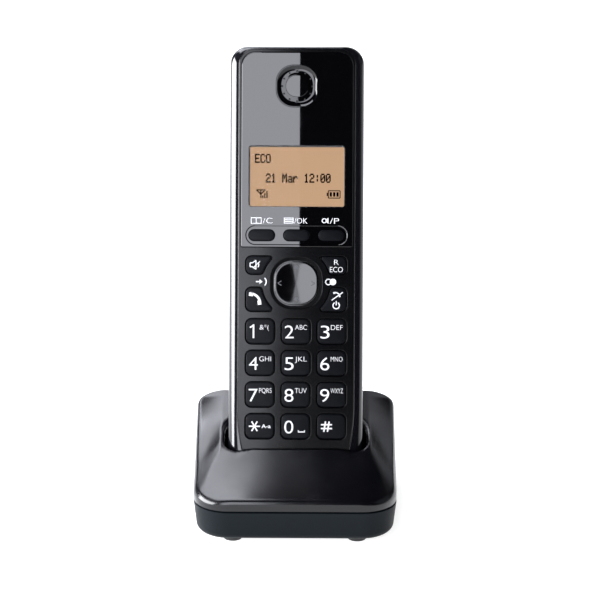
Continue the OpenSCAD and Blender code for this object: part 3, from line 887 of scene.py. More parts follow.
class Legend:
    """Thin raised print, drawn across (u) and up (v) on a face of the handset."""

    def __init__(self, name: str, y: float) -> None:
        """Starts an empty print.

        Args:
            name: its name.
            y: depth of its middle.
        """
        self.name = name
        self.y = y
        self.parts: list[bpy.types.Object] = []
        self.thick = 0.03

    def place(self, cx: float, cz: float) -> Matrix:
        """Returns the matrix from a flat drawing to the handset's face."""
        turn = Matrix.Rotation(math.pi / 2, 4, "X")
        return HANDSET @ Matrix.Translation((cx, self.y, cz)) @ turn

    def text(self, words: str, cx: float, cz: float, height: float, span: float, bold: float = 0.0) -> None:
        """Adds a word in the built-in face.

        Args:
            words: the characters.
            cx: place of its left end.
            cz: place of its foot.
            height: height of a capital.
            span: width of the whole word.
            bold: how much the strokes grow.
        """
        curve = bpy.data.curves.new(self.name, "FONT")
        curve.body = words
        curve.size = height / CAPITAL
        curve.extrude = self.thick / 2
        curve.offset = bold
        curve.resolution_u = 5
        obj = bpy.data.objects.new(self.name, curve)
        bpy.context.scene.collection.objects.link(obj)
        bpy.context.view_layer.update()
        graph = bpy.context.evaluated_depsgraph_get()
        mesh = bpy.data.meshes.new_from_object(obj.evaluated_get(graph))
        bpy.data.objects.remove(obj)
        bpy.data.curves.remove(curve)
        left = min(v.co.x for v in mesh.vertices)
        right = max(v.co.x for v in mesh.vertices)
        stretch = Matrix.Diagonal((span / (right - left), 1, 1, 1)) @ Matrix.Translation((-left, 0, 0))
        mesh.transform(self.place(cx, cz) @ stretch)
        part = bpy.data.objects.new(self.name, mesh)
        bpy.context.scene.collection.objects.link(part)
        self.parts.append(part)

    def shape(self, flat: Flat, cx: float, cz: float) -> None:
        """Adds a filled outline.

        Args:
            flat: the outline, anticlockwise.
            cx: place of its origin, across.
            cz: place of its origin, up.
        """
        draft = Draft()
        low = draft.ring((x, z, -self.thick / 2) for x, z in flat)
        high = draft.ring((x, z, self.thick / 2) for x, z in flat)
        draft.bridge(low, high)
        draft.faces.append(tuple(low))
        draft.faces.append(tuple(high))
        self.parts.append(draft.made(self.name, self.place(cx, cz)))

    def bar(self, a: tuple[float, float], b: tuple[float, float], w: float, cx: float, cz: float) -> None:
        """Adds a straight stroke.

        Args:
            a: its start.
            b: its end.
            w: its width.
            cx: place of the drawing's origin, across.
            cz: place of the drawing's origin, up.
        """
        dx, dz = b[0] - a[0], b[1] - a[1]
        d = math.hypot(dx, dz)
        nx, nz = -dz / d * w / 2, dx / d * w / 2
        near = [(a[0] - nx, a[1] - nz), (b[0] - nx, b[1] - nz)]
        flat = near + [(b[0] + nx, b[1] + nz), (a[0] + nx, a[1] + nz)]
        self.shape(flat, cx, cz)

    def arc(self, r: float, w: float, a0: float, a1: float, cx: float, cz: float, steps: int = 20) -> None:
        """Adds an arc stroke.

        Args:
            r: its radius.
            w: its width.
            a0: start angle in degrees.
            a1: end angle in degrees.
            cx: place of its centre, across.
            cz: place of its centre, up.
            steps: steps along it.
        """
        turn = [math.radians(a0 + (a1 - a0) * i / steps) for i in range(steps + 1)]
        outer = [((r + w / 2) * math.cos(a), (r + w / 2) * math.sin(a)) for a in turn]
        inner = [((r - w / 2) * math.cos(a), (r - w / 2) * math.sin(a)) for a in reversed(turn)]
        draft = Draft()
        n = len(turn)
        pairs = outer + inner
        low = draft.ring((x, z, -self.thick / 2) for x, z in pairs)
        high = draft.ring((x, z, self.thick / 2) for x, z in pairs)
        draft.bridge(low, high)
        for i in range(n - 1):
            for ring in (low, high):
                draft.faces.append((ring[i], ring[i + 1], ring[2 * n - 2 - i], ring[2 * n - 1 - i]))
        self.parts.append(draft.made(self.name, self.place(cx, cz)))

    def disc(self, r: float, cx: float, cz: float) -> None:
        """Adds a filled disc."""
        turn = [2 * math.pi * i / 24 for i in range(24)]
        self.shape([(r * math.cos(a), r * math.sin(a)) for a in turn], cx, cz)

    def joined(self) -> bpy.types.Object:
        """Joins the strokes.

        Returns:
            One mesh object with all of them.
        """
        bm = bmesh.new()
        for part in self.parts:
            bm.from_mesh(part.data)
            mesh = part.data
            bpy.data.objects.remove(part)
            bpy.data.meshes.remove(mesh)
        mesh = bpy.data.meshes.new(self.name)
        bmesh.ops.remove_doubles(bm, verts=bm.verts, dist=1e-7)
        bm.to_mesh(mesh)
        bm.free()
        obj = bpy.data.objects.new(self.name, mesh)
        bpy.context.scene.collection.objects.link(obj)
        return obj


# ---- Handset ----


@dataclass(frozen=True)
class BodyShape:
    """The handset's body as one round-edged form, grown or shrunk all round."""

    grow: float = 0.0
    half_w: float = 24.0
    rim_y: float = 0.5
    rim_r: float = 4.0
    back_edge: float = 9.6
    chin_r: float = 10.0
    top_r: float = 6.5
    side_steps: int = 36
    end_steps: int = 6
    corner_steps: int = 12

    def outline(self, g: float, soften: float = 1.0) -> Outline:
        """Draws the outline.

        Args:
            g: distance inwards.
            soften: how fast its corners shrink with that distance.

        Returns:
            The outline.
        """
        g0 = self.grow
        return Outline(
            self.half_w + g0 - g,
            g - g0,
            HS_L + g0 - g,
            max(self.chin_r + g0 - g * soften, 1.5),
            max(self.top_r + g0 - g * soften, 1.5),
            self.end_steps,
            self.side_steps,
            self.corner_steps,
        )

    def back_y(self, z: float) -> float:
        """Returns the depth of the back at height z."""
        return HS_T - BACK_R + math.sqrt(BACK_R**2 - (z - BACK_Z) ** 2) + self.grow

    def back_rings(self, draft: Draft) -> list[list[int]]:
        """Adds the rings from the straight side wall to the middle of the back.

        Args:
            draft: the draft that takes them.

        Returns:
            The rings, from the side inwards.
        """
        r = self.back_edge + self.grow
        rings = []
        steps = 12
        for i in range(steps + 1):
            a = math.pi / 2 * i / steps
            g = r * (1 - math.cos(a))
            flat = self.outline(g, 0.55).points()
            rings.append(draft.ring((x, self.back_y(z) - r * (1 - math.sin(a)), z) for x, z in flat))
        for share in (0.2, 0.45, 0.7, 0.92):
            g = r + (self.half_w + self.grow - r) * share
            flat = self.outline(g, 0.3).points()
            rings.append(draft.ring((x, self.back_y(z), z) for x, z in flat))
        return rings

    def solid(self, name: str = "tool") -> bpy.types.Object:
        """Makes the full closed form.

        Args:
            name: name of the object.

        Returns:
            The closed mesh.
        """
        draft = Draft()
        r = self.rim_r + self.grow
        y0 = self.rim_y - self.grow
        edge = min(1.0, r)
        inner = replace(self.outline(edge), half_w=self.half_w + self.grow - r).points()
        outer = self.outline(0).points()
        rings = []
        steps = 8
        for i in range(steps + 1):
            a = math.pi / 2 * i / steps
            u = math.sin(a)
            rings.append(
                draft.ring(
                    (p[0] + (q[0] - p[0]) * u, y0 + r * (1 - math.cos(a)), p[1] + (q[1] - p[1]) * u)
                    for p, q in zip(inner, outer)
                )
            )
        rings += self.back_rings(draft)
        draft.stack(rings)
        draft.zip(rings[0])
        draft.zip(rings[-1])
        return draft.made(name, HANDSET)


def front_taper(z: float) -> float:
    """Works out how far the front cover's side draws in near the chin.

    Args:
        z: height along the handset.

    Returns:
        The distance inwards.
    """
    start, radius = 31.0, 70.0
    drop = max(0.0, start - z)
    return radius - math.sqrt(radius**2 - drop**2)


@dataclass
class KeyPlan:
    """Places and sizes of the keys, in the handset's frame."""

    pitch_x: float = 12.75
    pitch_z: float = 11.3
    top_z: float = 58.0
    width: float = 10.0
    height: float = 8.6
    radius: float = 2.0
    gap: float = 0.3
    proud: float = 0.7
    soft_w: float = 9.1
    soft_h: float = 3.8
    soft_pitch: float = 12.4
    soft_z: float = 92.3
    soft_proud: float = 0.5
    nav_z: float = 75.2
    nav_w: float = 15.6
    nav_r: float = 6.3
    moat_w: float = 18.2
    ring_r: float = 12.5
    side_x: float = 13.3
    side_w: float = 9.0
    upper: tuple[float, float] = (81.6, 6.1)
    lower: tuple[float, float] = (69.4, 8.2)
    side_r: float = 1.9

    def number(self, col: int, row: int, grow: float = 0.0) -> Flat:
        """Returns the outline of a number key."""
        w, h = self.width + 2 * grow, self.height + 2 * grow
        return rect(w, h, self.radius + grow, col * self.pitch_x, self.top_z - row * self.pitch_z)

    def soft(self, col: int, grow: float = 0.0) -> Flat:
        """Returns the outline of a soft key."""
        w, h = self.soft_w + 2 * grow, self.soft_h + 2 * grow
        return rect(w, h, h / 2 - 0.05, col * self.soft_pitch, self.soft_z)

    def nav(self, grow: float = 0.0) -> Flat:
        """Returns the outline of the navigator's cap."""
        w = self.nav_w + 2 * grow
        return rect(w, w, self.nav_r + grow, 0.0, self.nav_z, 14)

    def side(self, s: int, place: tuple[float, float], grow: float = 0.0) -> Flat:
        """Returns the outline of a key beside the navigator, which follows its ring.

        Args:
            s: -1 for the left side, 1 for the right side.
            place: height of its middle, and its own height.
            grow: how much larger it is all round.

        Returns:
            The outline, anticlockwise.
        """
        z, h = place
        reach = self.ring_r - grow
        half_w, half_h = self.side_w / 2 + grow, h / 2 + grow
        r = self.side_r + grow
        outer: Flat = []
        # Outer corners, lower then upper, on the side away from the navigator.
        for start, cz in ((-90.0, z - half_h + r), (0.0, z + half_h - r)):
            for i in range(9):
                a = math.radians(start + 90.0 * i / 8)
                outer.append((self.side_x + half_w - r + r * math.cos(a), cz + r * math.sin(a)))
        # Inner side: the navigator's ring, between the upper and the lower end, with small round corners.
        left_x = self.side_x - half_w
        tip = 0.9
        top, low = z + half_h, z - half_h

        def edge(v: float) -> float:
            """Finds the inner side.

            Args:
                v: height.

            Returns:
                Its x.
            """
            d = v - self.nav_z
            ring = math.sqrt(max(reach**2 - d**2, 0.0))
            return max(ring, left_x)

        inner: Flat = []
        steps = 14
        for i in range(steps + 1):
            v = top - tip + (low + tip - (top - tip)) * i / steps
            inner.append((edge(v), v))
        blend_top = [(edge(top) + tip * 1.1, top), (edge(top - tip * 0.3) + tip * 0.35, top - tip * 0.25)]
        blend_low = [(edge(low + tip * 0.3) + tip * 0.35, low + tip * 0.25), (edge(low) + tip * 1.1, low)]
        flat = outer + blend_top + inner + blend_low
        if s < 0:
            flat = [(-x, v) for x, v in reversed(flat)]
        return flat


def key_cap(
    name: str,
    flat: Flat,
    centre: tuple[float, float],
    front: float,
    edge: float,
    crown: float,
    flange: tuple[float, float, float] = (0.6, 1.8, 2.3),
) -> bpy.types.Object:
    """Makes a key: a flange behind the cover, a straight stem, a round edge and a crowned or dished face.

    Args:
        name: the key's name.
        flat: its outline.
        centre: the middle of its face.
        front: depth of the face's edge.
        edge: radius of the round edge.
        crown: height of the face's middle above its edge; negative for a dish.
        flange: how far the flange stands out, and the depths of its front and back.

    Returns:
        The closed mesh.
    """
    draft = Draft()
    out, near, back = flange
    rings = [
        draft.level(inset(flat, -out), back),
        draft.level(inset(flat, -out), near),
        draft.level(flat, near - 0.01),
        draft.level(flat, front + edge),
    ]
    steps = 5
    for i in range(1, steps + 1):
        a = math.pi / 2 * i / steps
        rings.append(draft.level(inset(flat, edge * (1 - math.cos(a))), front + edge * (1 - math.sin(a))))
    top = inset(flat, edge)
    faces = 7
    for i in range(1, faces):
        share = 1 - i / faces
        rings.append(draft.level(toward(top, centre, share), front - crown * (1 - share**2)))
    draft.stack(rings)
    draft.fan(rings[-1], (centre[0], front - crown, centre[1]))
    draft.fan(rings[0], (centre[0], back, centre[1]))
    return draft.made(name, HANDSET, CREASE_KEY)


@dataclass
class Handset:
    """The handset: covers, panel, display, earpiece and the CAD's inner pieces."""

    keys: KeyPlan = field(default_factory=KeyPlan)
    shell: BodyShape = field(default_factory=BodyShape)
    wall: float = 2.2
    front_half_w: float = 20.9
    front_z: tuple[float, float] = (1.2, 159.0)
    front_r: tuple[float, float] = (9.0, 5.6)
    plate_t: float = 1.5
    skirt_y: float = 5.0
    panel_half_w: float = 19.8
    panel_z: tuple[float, float] = (88.1, 157.7)
    panel_y: tuple[float, float] = (-0.35, 0.85)
    slot_w: float = 35.8
    slot_h: float = 6.4
    slot_depth: float = 0.75
    lcd_z: float = 113.4
    lcd_w: float = 34.4
    lcd_h: float = 22.0
    ear_z: float = 145.6
    ear_w: float = 15.2
    ear_r: float = 6.3
    bay_z: tuple[float, float] = (36.0, 104.0)
    bay_w: float = 34.0
    bay_r: float = 5.0

    def front(self, g: float = 0.0) -> Flat:
        """Draws the outline of the front cover.

        Args:
            g: distance inwards.

        Returns:
            The outline's points.
        """
        low, high = self.front_r
        body = self.shell
        shape = Outline(
            self.front_half_w - g,
            self.front_z[0] + g,
            self.front_z[1] - g,
            low - g,
            high - g,
            body.end_steps,
            body.side_steps,
            body.corner_steps,
        )
        return shape.points(front_taper)

    def bay(self, g: float = 0.0) -> Flat:
        """Draws the outline of the battery bay.

        Args:
            g: distance outwards.

        Returns:
            The outline's points.
        """
        z0, z1 = self.bay_z
        shape = Outline(self.bay_w / 2 + g, z0 - g, z1 + g, self.bay_r + g, self.bay_r + g, 4, 20, 8)
        return shape.points()

    def rear_cover(self) -> None:
        """Builds the rear cover: rim, round sides and arched back, hollow, with the battery bay."""
        body = self.shell
        draft = Draft()
        seat = self.front(-0.12)
        outer = body.outline(0).points()
        rings = [draft.level(seat, self.skirt_y + 0.05)]
        steps = 12
        start = math.asin((self.front_half_w + 0.12 - (body.half_w - body.rim_r)) / body.rim_r)
        for i in range(steps + 1):
            a = start + (math.pi / 2 - start) * i / steps
            u = (math.sin(a) - math.sin(start)) / (1 - math.sin(start))
            y = body.rim_y + body.rim_r * (1 - math.cos(a))
            flat = [(p[0] + (q[0] - p[0]) * u, p[1] + (q[1] - p[1]) * u) for p, q in zip(seat, outer)]
            rings.append(draft.level(flat, y))
        rings += body.back_rings(draft)
        draft.stack(rings)
        draft.zip(rings[0])
        draft.zip(rings[-1])
        cover = draft.made("rear_cover", HANDSET, CREASE_SHELL)

        hollow = BodyShape(grow=-self.wall).solid()
        front_wall = prism(rect(80, 200, 1, 0, 80), -20, self.skirt_y + self.wall, HANDSET)
        cut(hollow, [front_wall], Cut.TAKE)
        opening = prism(self.front(1.5), 0, self.skirt_y + self.wall + 0.4, HANDSET)
        bay_hole = prism(self.bay(0.3), 15, 40, HANDSET)
        cut(cover, [hollow, opening, bay_hole], Cut.TAKE, CREASE_SHELL)

        # Ledge round the bay and tray for the two cells.
        shelf = BodyShape(grow=-1.9).solid()
        ring_tool = prism(self.bay(1.5), 12, 40, HANDSET)
        cut(shelf, [ring_tool], Cut.KEEP)
        below = BodyShape(grow=-3.1).solid()
        cut(shelf, [below], Cut.TAKE)
        tray = BodyShape(grow=-1.9).solid()
        tray_box = prism(rect(25.6, 52.4, 0.6, 0, 71.5), 10.4, 40, HANDSET)
        cut(tray, [tray_box], Cut.KEEP)
        cut(cover, [shelf, tray], Cut.ADD, CREASE_SHELL)
        cells = prism(rect(23.2, 50, 0.4, 0, 71.5), 11.6, 40, HANDSET)
        slots = [
            prism(rect(15 - 2 * abs(i), 1.3, 0.6, 0, 120 + 2.8 * i, 5), 15, 40, HANDSET) for i in range(-2, 3)
        ]
        screws = [self.rod(s * 15.0, 134.0, 2.4, 12, 40) for s in (-1, 1)]
        plates = [prism(rect(4.2, 6.0, 0.1, s * 11.0, 0.0), 6.4, 10.6, HANDSET) for s in (-1, 1)]
        cut(cover, [cells, *slots, *screws, *plates], Cut.TAKE, CREASE_SHELL)
        even(cover)
        place_piece(cover, FINISH.rear_gloss, "handset", "rear_gloss", "handset_rear_cover")

    def rod(self, x: float, z: float, r: float, y0: float, y1: float) -> bpy.types.Object:
        """Makes a round cutting rod along the handset's depth.

        Args:
            x: place of its axis, across.
            z: place of its axis, up.
            r: its radius.
            y0: depth of its front.
            y1: depth of its back.

        Returns:
            The rod.
        """
        turn = [2 * math.pi * i / 32 - math.pi / 2 for i in range(32)]
        flat = [(x + r * math.cos(a), z + r * math.sin(a)) for a in turn]
        return prism(flat, y0, y1, HANDSET)

    def battery_cover(self) -> None:
        """Builds the battery cover, which follows the arch of the back, with a thumb recess."""
        body = self.shell
        draft = Draft()
        thick, edge = 1.6, 0.35

        def at(flat: Flat, sink: float) -> list[int]:
            """Adds an outline laid on the back, sunk below it."""
            return draft.ring((x, body.back_y(z) - sink, z) for x, z in flat)

        rings = [at(self.bay(), thick), at(self.bay(), edge)]
        steps = 4
        for i in range(1, steps + 1):
            a = math.pi / 2 * i / steps
            rings.append(at(self.bay(-edge * (1 - math.cos(a))), edge * (1 - math.sin(a))))
        for g in (4.0, 8.0, 12.0, 16.2):
            rings.append(at(self.bay(-g), 0.0))
        draft.stack(rings)
        draft.zip(rings[-1])
        inner = [at(self.bay(-g), thick) for g in (4.0, 8.0, 12.0, 16.2)]
        draft.stack([rings[0], *inner])
        draft.zip(inner[-1])
        cover = draft.made("battery_cover_shell", HANDSET, CREASE_KEY)
        grips = []
        for i in range(5):
            grips.append(prism(rect(12 - 1.2 * abs(i - 2), 0.8, 0.39, 0, 92 + 1.9 * i, 5), 25.2, 40, HANDSET))
        cut(cover, grips, Cut.TAKE, CREASE_KEY)
        even(cover)
        place_piece(cover, FINISH.rear_gloss, "battery_cover", "rear_gloss", "battery_cover")

    def front_cover(self) -> None:
        """Builds the front cover: a plate with wells for the panel and the keys, and a skirt."""
        k = self.keys
        draft = Draft()
        edge = 0.5
        rings = [draft.level(self.front(), self.plate_t), draft.level(self.front(), edge)]
        steps = 5
        for i in range(1, steps + 1):
            a = math.pi / 2 * i / steps
            rings.append(draft.level(self.front(edge * (1 - math.cos(a))), edge * (1 - math.sin(a))))
        draft.stack(rings)
        draft.zip(rings[0])
        draft.zip(rings[-1])
        cover = draft.made("front_cover", HANDSET)
        skirt = prism(self.front(), self.plate_t - 0.4, self.skirt_y, HANDSET)
        inside = prism(self.front(1.2), 0, self.skirt_y + 1, HANDSET)
        cut(skirt, [inside], Cut.TAKE)
        cut(cover, [skirt], Cut.ADD)
        z0, z1 = self.panel_z
        panel = Outline(self.panel_half_w + 0.1, z0 - 0.1, z1 + 0.1, 0.6, 5.0, 4, 6, 8)
        wells = [
            prism(panel.points(), -2, 0.9, HANDSET, 0.15),
            prism(rect(38, 25.6, 1, 0, self.lcd_z), -1, 3, HANDSET),
            prism(rect(11, 11, 5, 0, self.ear_z), -1, 3, HANDSET),
            prism(rect(k.moat_w, k.moat_w, 7.6, 0, k.nav_z, 14), -1, 0.8, HANDSET, 0.3),
            prism(k.nav(k.gap), -1, 3, HANDSET),
        ]
        wells += [prism(k.number(c, r, k.gap), -1, 3, HANDSET, 0.3) for r in range(4) for c in (-1, 0, 1)]
        wells += [prism(k.soft(c, k.gap), -1, 3, HANDSET) for c in (-1, 0, 1)]
        wells += [self.fan_prism(k.side(s, p, k.gap), 3, 0.3) for s in (-1, 1) for p in (k.upper, k.lower)]
        wells.append(self.rod(0, 9.5, 0.5, -1, 3))
        cut(cover, wells, Cut.TAKE)
        even(cover)
        place_piece(cover, FINISH.front_satin, "handset", "front_satin", "handset_front_cover")

    def fan_prism(self, flat: Flat, y1: float, flare: float) -> bpy.types.Object:
        """Makes a cutting block whose outline isn't mirrored, closed by fans.

        Args:
            flat: its outline.
            y1: depth of its back.
            flare: radius of the round edge that it leaves.

        Returns:
            The block.
        """
        draft = Draft()
        cx = sum(x for x, _ in flat) / len(flat)
        cz = sum(z for _, z in flat) / len(flat)
        rings = [draft.level(inset(flat, -flare), -1)]
        for i in range(5):
            a = math.pi / 2 * i / 4
            rings.append(draft.level(inset(flat, -flare * (1 - math.sin(a))), flare * (1 - math.cos(a))))
        rings.append(draft.level(flat, y1))
        draft.stack(rings)
        draft.fan(rings[0], (cx, -1, cz))
        draft.fan(rings[-1], (cx, y1, cz))
        return draft.made("tool", HANDSET)

    def panel(self) -> None:
        """Builds the glossy panel with its openings and the slot of the soft keys."""
        k = self.keys
        y0, y1 = self.panel_y
        edge = 0.3
        shape = Outline(self.panel_half_w, *self.panel_z, 0.5, 4.9, 4, 6, 10)
        draft = Draft()
        rings = [draft.level(shape.points(), y1), draft.level(shape.points(), y0 + edge)]
        steps = 4
        for i in range(1, steps + 1):
            a = math.pi / 2 * i / steps
            flat = shape.grown(-edge * (1 - math.cos(a))).points()
            rings.append(draft.level(flat, y0 + edge * (1 - math.sin(a))))
        draft.stack(rings)
        draft.zip(rings[0])
        draft.zip(rings[-1])
        panel = draft.made("display_panel_gloss", HANDSET)
        shift = HANDSET @ Matrix.Translation((0, y0, 0))
        slot = rect(self.slot_w, self.slot_h, self.slot_h / 2 - 0.02, 0, k.soft_z, 12)
        ear = self.ear_w + 0.1
        tools = [
            prism(rect(self.lcd_w, self.lcd_h, 1, 0, self.lcd_z), -1, 3, shift),
            prism(rect(ear, ear, self.ear_r + 0.05, 0, self.ear_z, 14), -1, 3, shift),
            prism(slot, -1, self.slot_depth, shift, 0.35),
        ]
        tools += [prism(k.soft(c, k.gap), -1, 3, shift) for c in (-1, 0, 1)]
        cut(panel, tools, Cut.TAKE, CREASE_PANEL)
        place_piece(panel, FINISH.panel_gloss, "handset", "panel_gloss", "display_panel")

    def window(self) -> None:
        """Builds the clear window, flush with the panel."""
        y0, y1 = self.panel_y
        shape = rect(self.lcd_w - 0.08, self.lcd_h - 0.08, 0.96, 0, self.lcd_z)
        pane = prism(shape, y0, y1, HANDSET, 0.0, "display_window_pane")
        place_piece(pane, FINISH.window, "handset", "window_clear", "display_window")

    def display(self) -> None:
        """Builds the display, which glows in its lit colour as painted light, and its characters."""
        # The display glass glows with painted light in place of the studio light through the window.
        glass = prism(rect(37.4, 25, 0.6, 0, self.lcd_z), 0.95, 2.85, HANDSET, 0.0, "display_glass")
        place_piece(glass, FINISH.lcd, "handset", "lcd_glass", "lcd_module")
        self.display_mask_and_shadow()
        dots = DotText("display_characters", 0.93)
        dots.write("ECO", -15.0, 118.1)
        dots.write("21 Mar 12:00", -11.1, 111.1)
        place_piece(dots.joined(self.icons()), FINISH.lcd_ink, "handset", "lcd_glass")

    def display_mask_and_shadow(self) -> None:
        """Builds the thin dark frame just behind the window's edge; it is wider at the left and top as a
        painted shadow of that edge.
        """
        draft = Draft()
        outer = rect(self.lcd_w + 0.6, self.lcd_h + 0.6, 1.3, 0, self.lcd_z)
        # The inner edge sits a little right and down, so the frame is wider at the left and top: painted
        # shadow of the window's edge.
        inner = rect(self.lcd_w - 0.8, self.lcd_h - 0.8, 0.6, 0.16, self.lcd_z - 0.16)
        front, back = 0.86, 0.94
        rings = [draft.level(outer, front), draft.level(outer, back)]
        rings += [draft.level(inner, back), draft.level(inner, front)]
        draft.stack([*rings, rings[0]])
        place_piece(draft.made("display_mask_and_shadow", HANDSET), FINISH.black, "handset", "black_moulding")

    def icons(self) -> bpy.types.Object:
        """Draws the display's aerial and battery signs.

        Returns:
            One mesh object with both.
        """
        signs = Legend("display_icons", 0.92)
        z = 105.6
        x = -14.4
        signs.bar((0, 2.9), (1.6, 1.4), 0.4, x, z)
        signs.bar((3.2, 2.9), (1.6, 1.4), 0.4, x, z)
        signs.bar((0, 2.9), (3.2, 2.9), 0.4, x, z)
        signs.bar((1.6, 0), (1.6, 2.9), 0.45, x, z)
        for i in range(3):
            signs.bar((2.3 + 0.75 * i, 0), (2.3 + 0.75 * i, 0.9 + 0.8 * i), 0.45, x, z)
        bx = 11.3
        low, high, end = 0.1, 2.7, 4.2
        signs.bar((0, low), (end, low), 0.34, bx, z)
        signs.bar((0, high), (end, high), 0.34, bx, z)
        signs.bar((end, low), (end, high), 0.34, bx, z)
        signs.bar((0, low), (0, high), 0.34, bx, z)
        signs.bar((-0.4, 0.8), (-0.4, 2.0), 0.4, bx, z)
        for i in range(3):
            signs.bar((0.9 + 1.2 * i, 0.6), (0.9 + 1.2 * i, 2.2), 0.8, bx, z)
        return signs.joined()

    def earpiece(self) -> None:
        """Builds the earpiece: a round-cornered groove with sound holes, about a flat island."""
        draft = Draft()
        y0, y1 = self.panel_y
        groove, land, floor = 0.8, 0.25, 0.55
        shape = rect(self.ear_w, self.ear_w, self.ear_r, 0, self.ear_z, 14)
        bevel = 0.12
        rings = [draft.level(shape, y1 + 0.05), draft.level(shape, y0 + bevel)]
        rings.append(draft.level(inset(shape, bevel), y0))
        rim = inset(shape, bevel + land)
        rings.append(draft.level(rim, y0))
        island = rect(8.3, 7.8, 3.8, 0, self.ear_z, 14)
        steps = 14
        for i in range(1, steps + 1):
            t = i / steps
            swell = math.sin(math.pi * t)
            depth = groove * swell**0.8 if t < 0.5 else floor + (groove - floor) * swell
            flat = [(a[0] + (b[0] - a[0]) * t, a[1] + (b[1] - a[1]) * t) for a, b in zip(rim, island)]
            rings.append(draft.level(flat, y0 + depth))
        draft.stack(rings)
        draft.fan(rings[-1], (0, y0 + floor, self.ear_z))
        draft.fan(rings[0], (0, y1 + 0.05, self.ear_z))
        disc = draft.made("earpiece_dish", HANDSET, CREASE_KEY)
        holes = []
        count, circle_r, hole_r = 12, 5.35, 0.35
        for i in range(count):
            a = 2 * math.pi * i / count
            holes.append(self.rod(circle_r * math.sin(a), self.ear_z + circle_r * math.cos(a), hole_r, -1, 2))
        cut(disc, holes, Cut.TAKE, CREASE_KEY)
        even(disc)
        place_piece(disc, FINISH.ear_gloss, "handset", "earpiece_gloss", "earpiece_grille")
        button = Draft()
        rings = [button.level(island, y0 + floor + 0.1), button.level(island, y0 + 0.16)]
        rings += [button.level(inset(island, 0.05), y0 + 0.05), button.level(inset(island, 0.16), y0)]
        button.stack(rings)
        button.fan(rings[0], (0, y0 + floor + 0.1, self.ear_z))
        button.fan(rings[-1], (0, y0, self.ear_z))
        flat_button = button.made("earpiece_island", HANDSET, CREASE_ISLAND)
        place_piece(flat_button, FINISH.panel_gloss, "handset", "panel_gloss")

    def build(self) -> None:
        """Builds the handset's own pieces."""
        self.rear_cover()
        self.battery_cover()
        self.front_cover()
        self.panel()
        self.window()
        self.display()
        self.earpiece()


class DotText:
    """Characters of small square dots, five across and seven up."""

    glyphs = {
        "E": ("11111", "10000", "10000", "11110", "10000", "10000", "11111"),
        "C": ("01110", "10001", "10000", "10000", "10000", "10001", "01110"),
        "O": ("01110", "10001", "10001", "10001", "10001", "10001", "01110"),
        "2": ("01110", "10001", "00001", "00110", "01000", "10000", "11111"),
        "1": ("00100", "01100", "00100", "00100", "00100", "00100", "01110"),
        "0": ("01110", "10001", "10011", "10101", "11001", "10001", "01110"),
        "M": ("10001", "11011", "10101", "10101", "10001", "10001", "10001"),
        "a": ("00000", "00000", "01110", "00001", "01111", "10001", "01111"),
        "r": ("00000", "00000", "10110", "11001", "10000", "10000", "10000"),
        ":": ("00000", "00100", "00100", "00000", "00100", "00100", "00000"),
        " ": ("00000",) * 7,
    }

    def __init__(self, name: str, y: float) -> None:
        """Starts an empty print.

        Args:
            name: its name.
            y: depth of its back.
        """
        self.name = name
        self.draft = Draft()
        self.y = y
        self.pitch = (0.325, 0.46)
        self.dot = (0.5, 0.56)
        self.thick = 0.02

    def write(self, words: str, x: float, z: float) -> None:
        """Writes a line.

        Args:
            words: its characters.
            x: place of its lower left corner, across.
            z: place of its lower left corner, up.
        """
        for n, letter in enumerate(words):
            for row, bits in enumerate(self.glyphs[letter]):
                for col, bit in enumerate(bits):
                    if bit == "1":
                        self.square(x + (6 * n + col) * self.pitch[0], z + (6 - row) * self.pitch[1])

    def square(self, x: float, z: float) -> None:
        """Adds one dot.

        Args:
            x: place of its lower left corner, across.
            z: place of its lower left corner, up.
        """
        d, h = self.dot
        flat = [(x, z), (x + d, z), (x + d, z + h), (x, z + h)]
        back = self.draft.level(flat, self.y)
        front = self.draft.level(flat, self.y - self.thick)
        self.draft.bridge(back, front)
        self.draft.faces += [tuple(back), tuple(front)]

    def joined(self, other: bpy.types.Object) -> bpy.types.Object:
        """Makes the mesh and takes in another print's mesh.

        Args:
            other: the other print, which is removed.

        Returns:
            The mesh object.
        """
        obj = self.draft.made(self.name, HANDSET)
        bm = bmesh.new()
        bm.from_mesh(obj.data)
        bm.from_mesh(other.data)
        bm.to_mesh(obj.data)
        bm.free()
        mesh = other.data
        bpy.data.objects.remove(other)
        bpy.data.meshes.remove(mesh)
        return obj


# ---- Keys ----


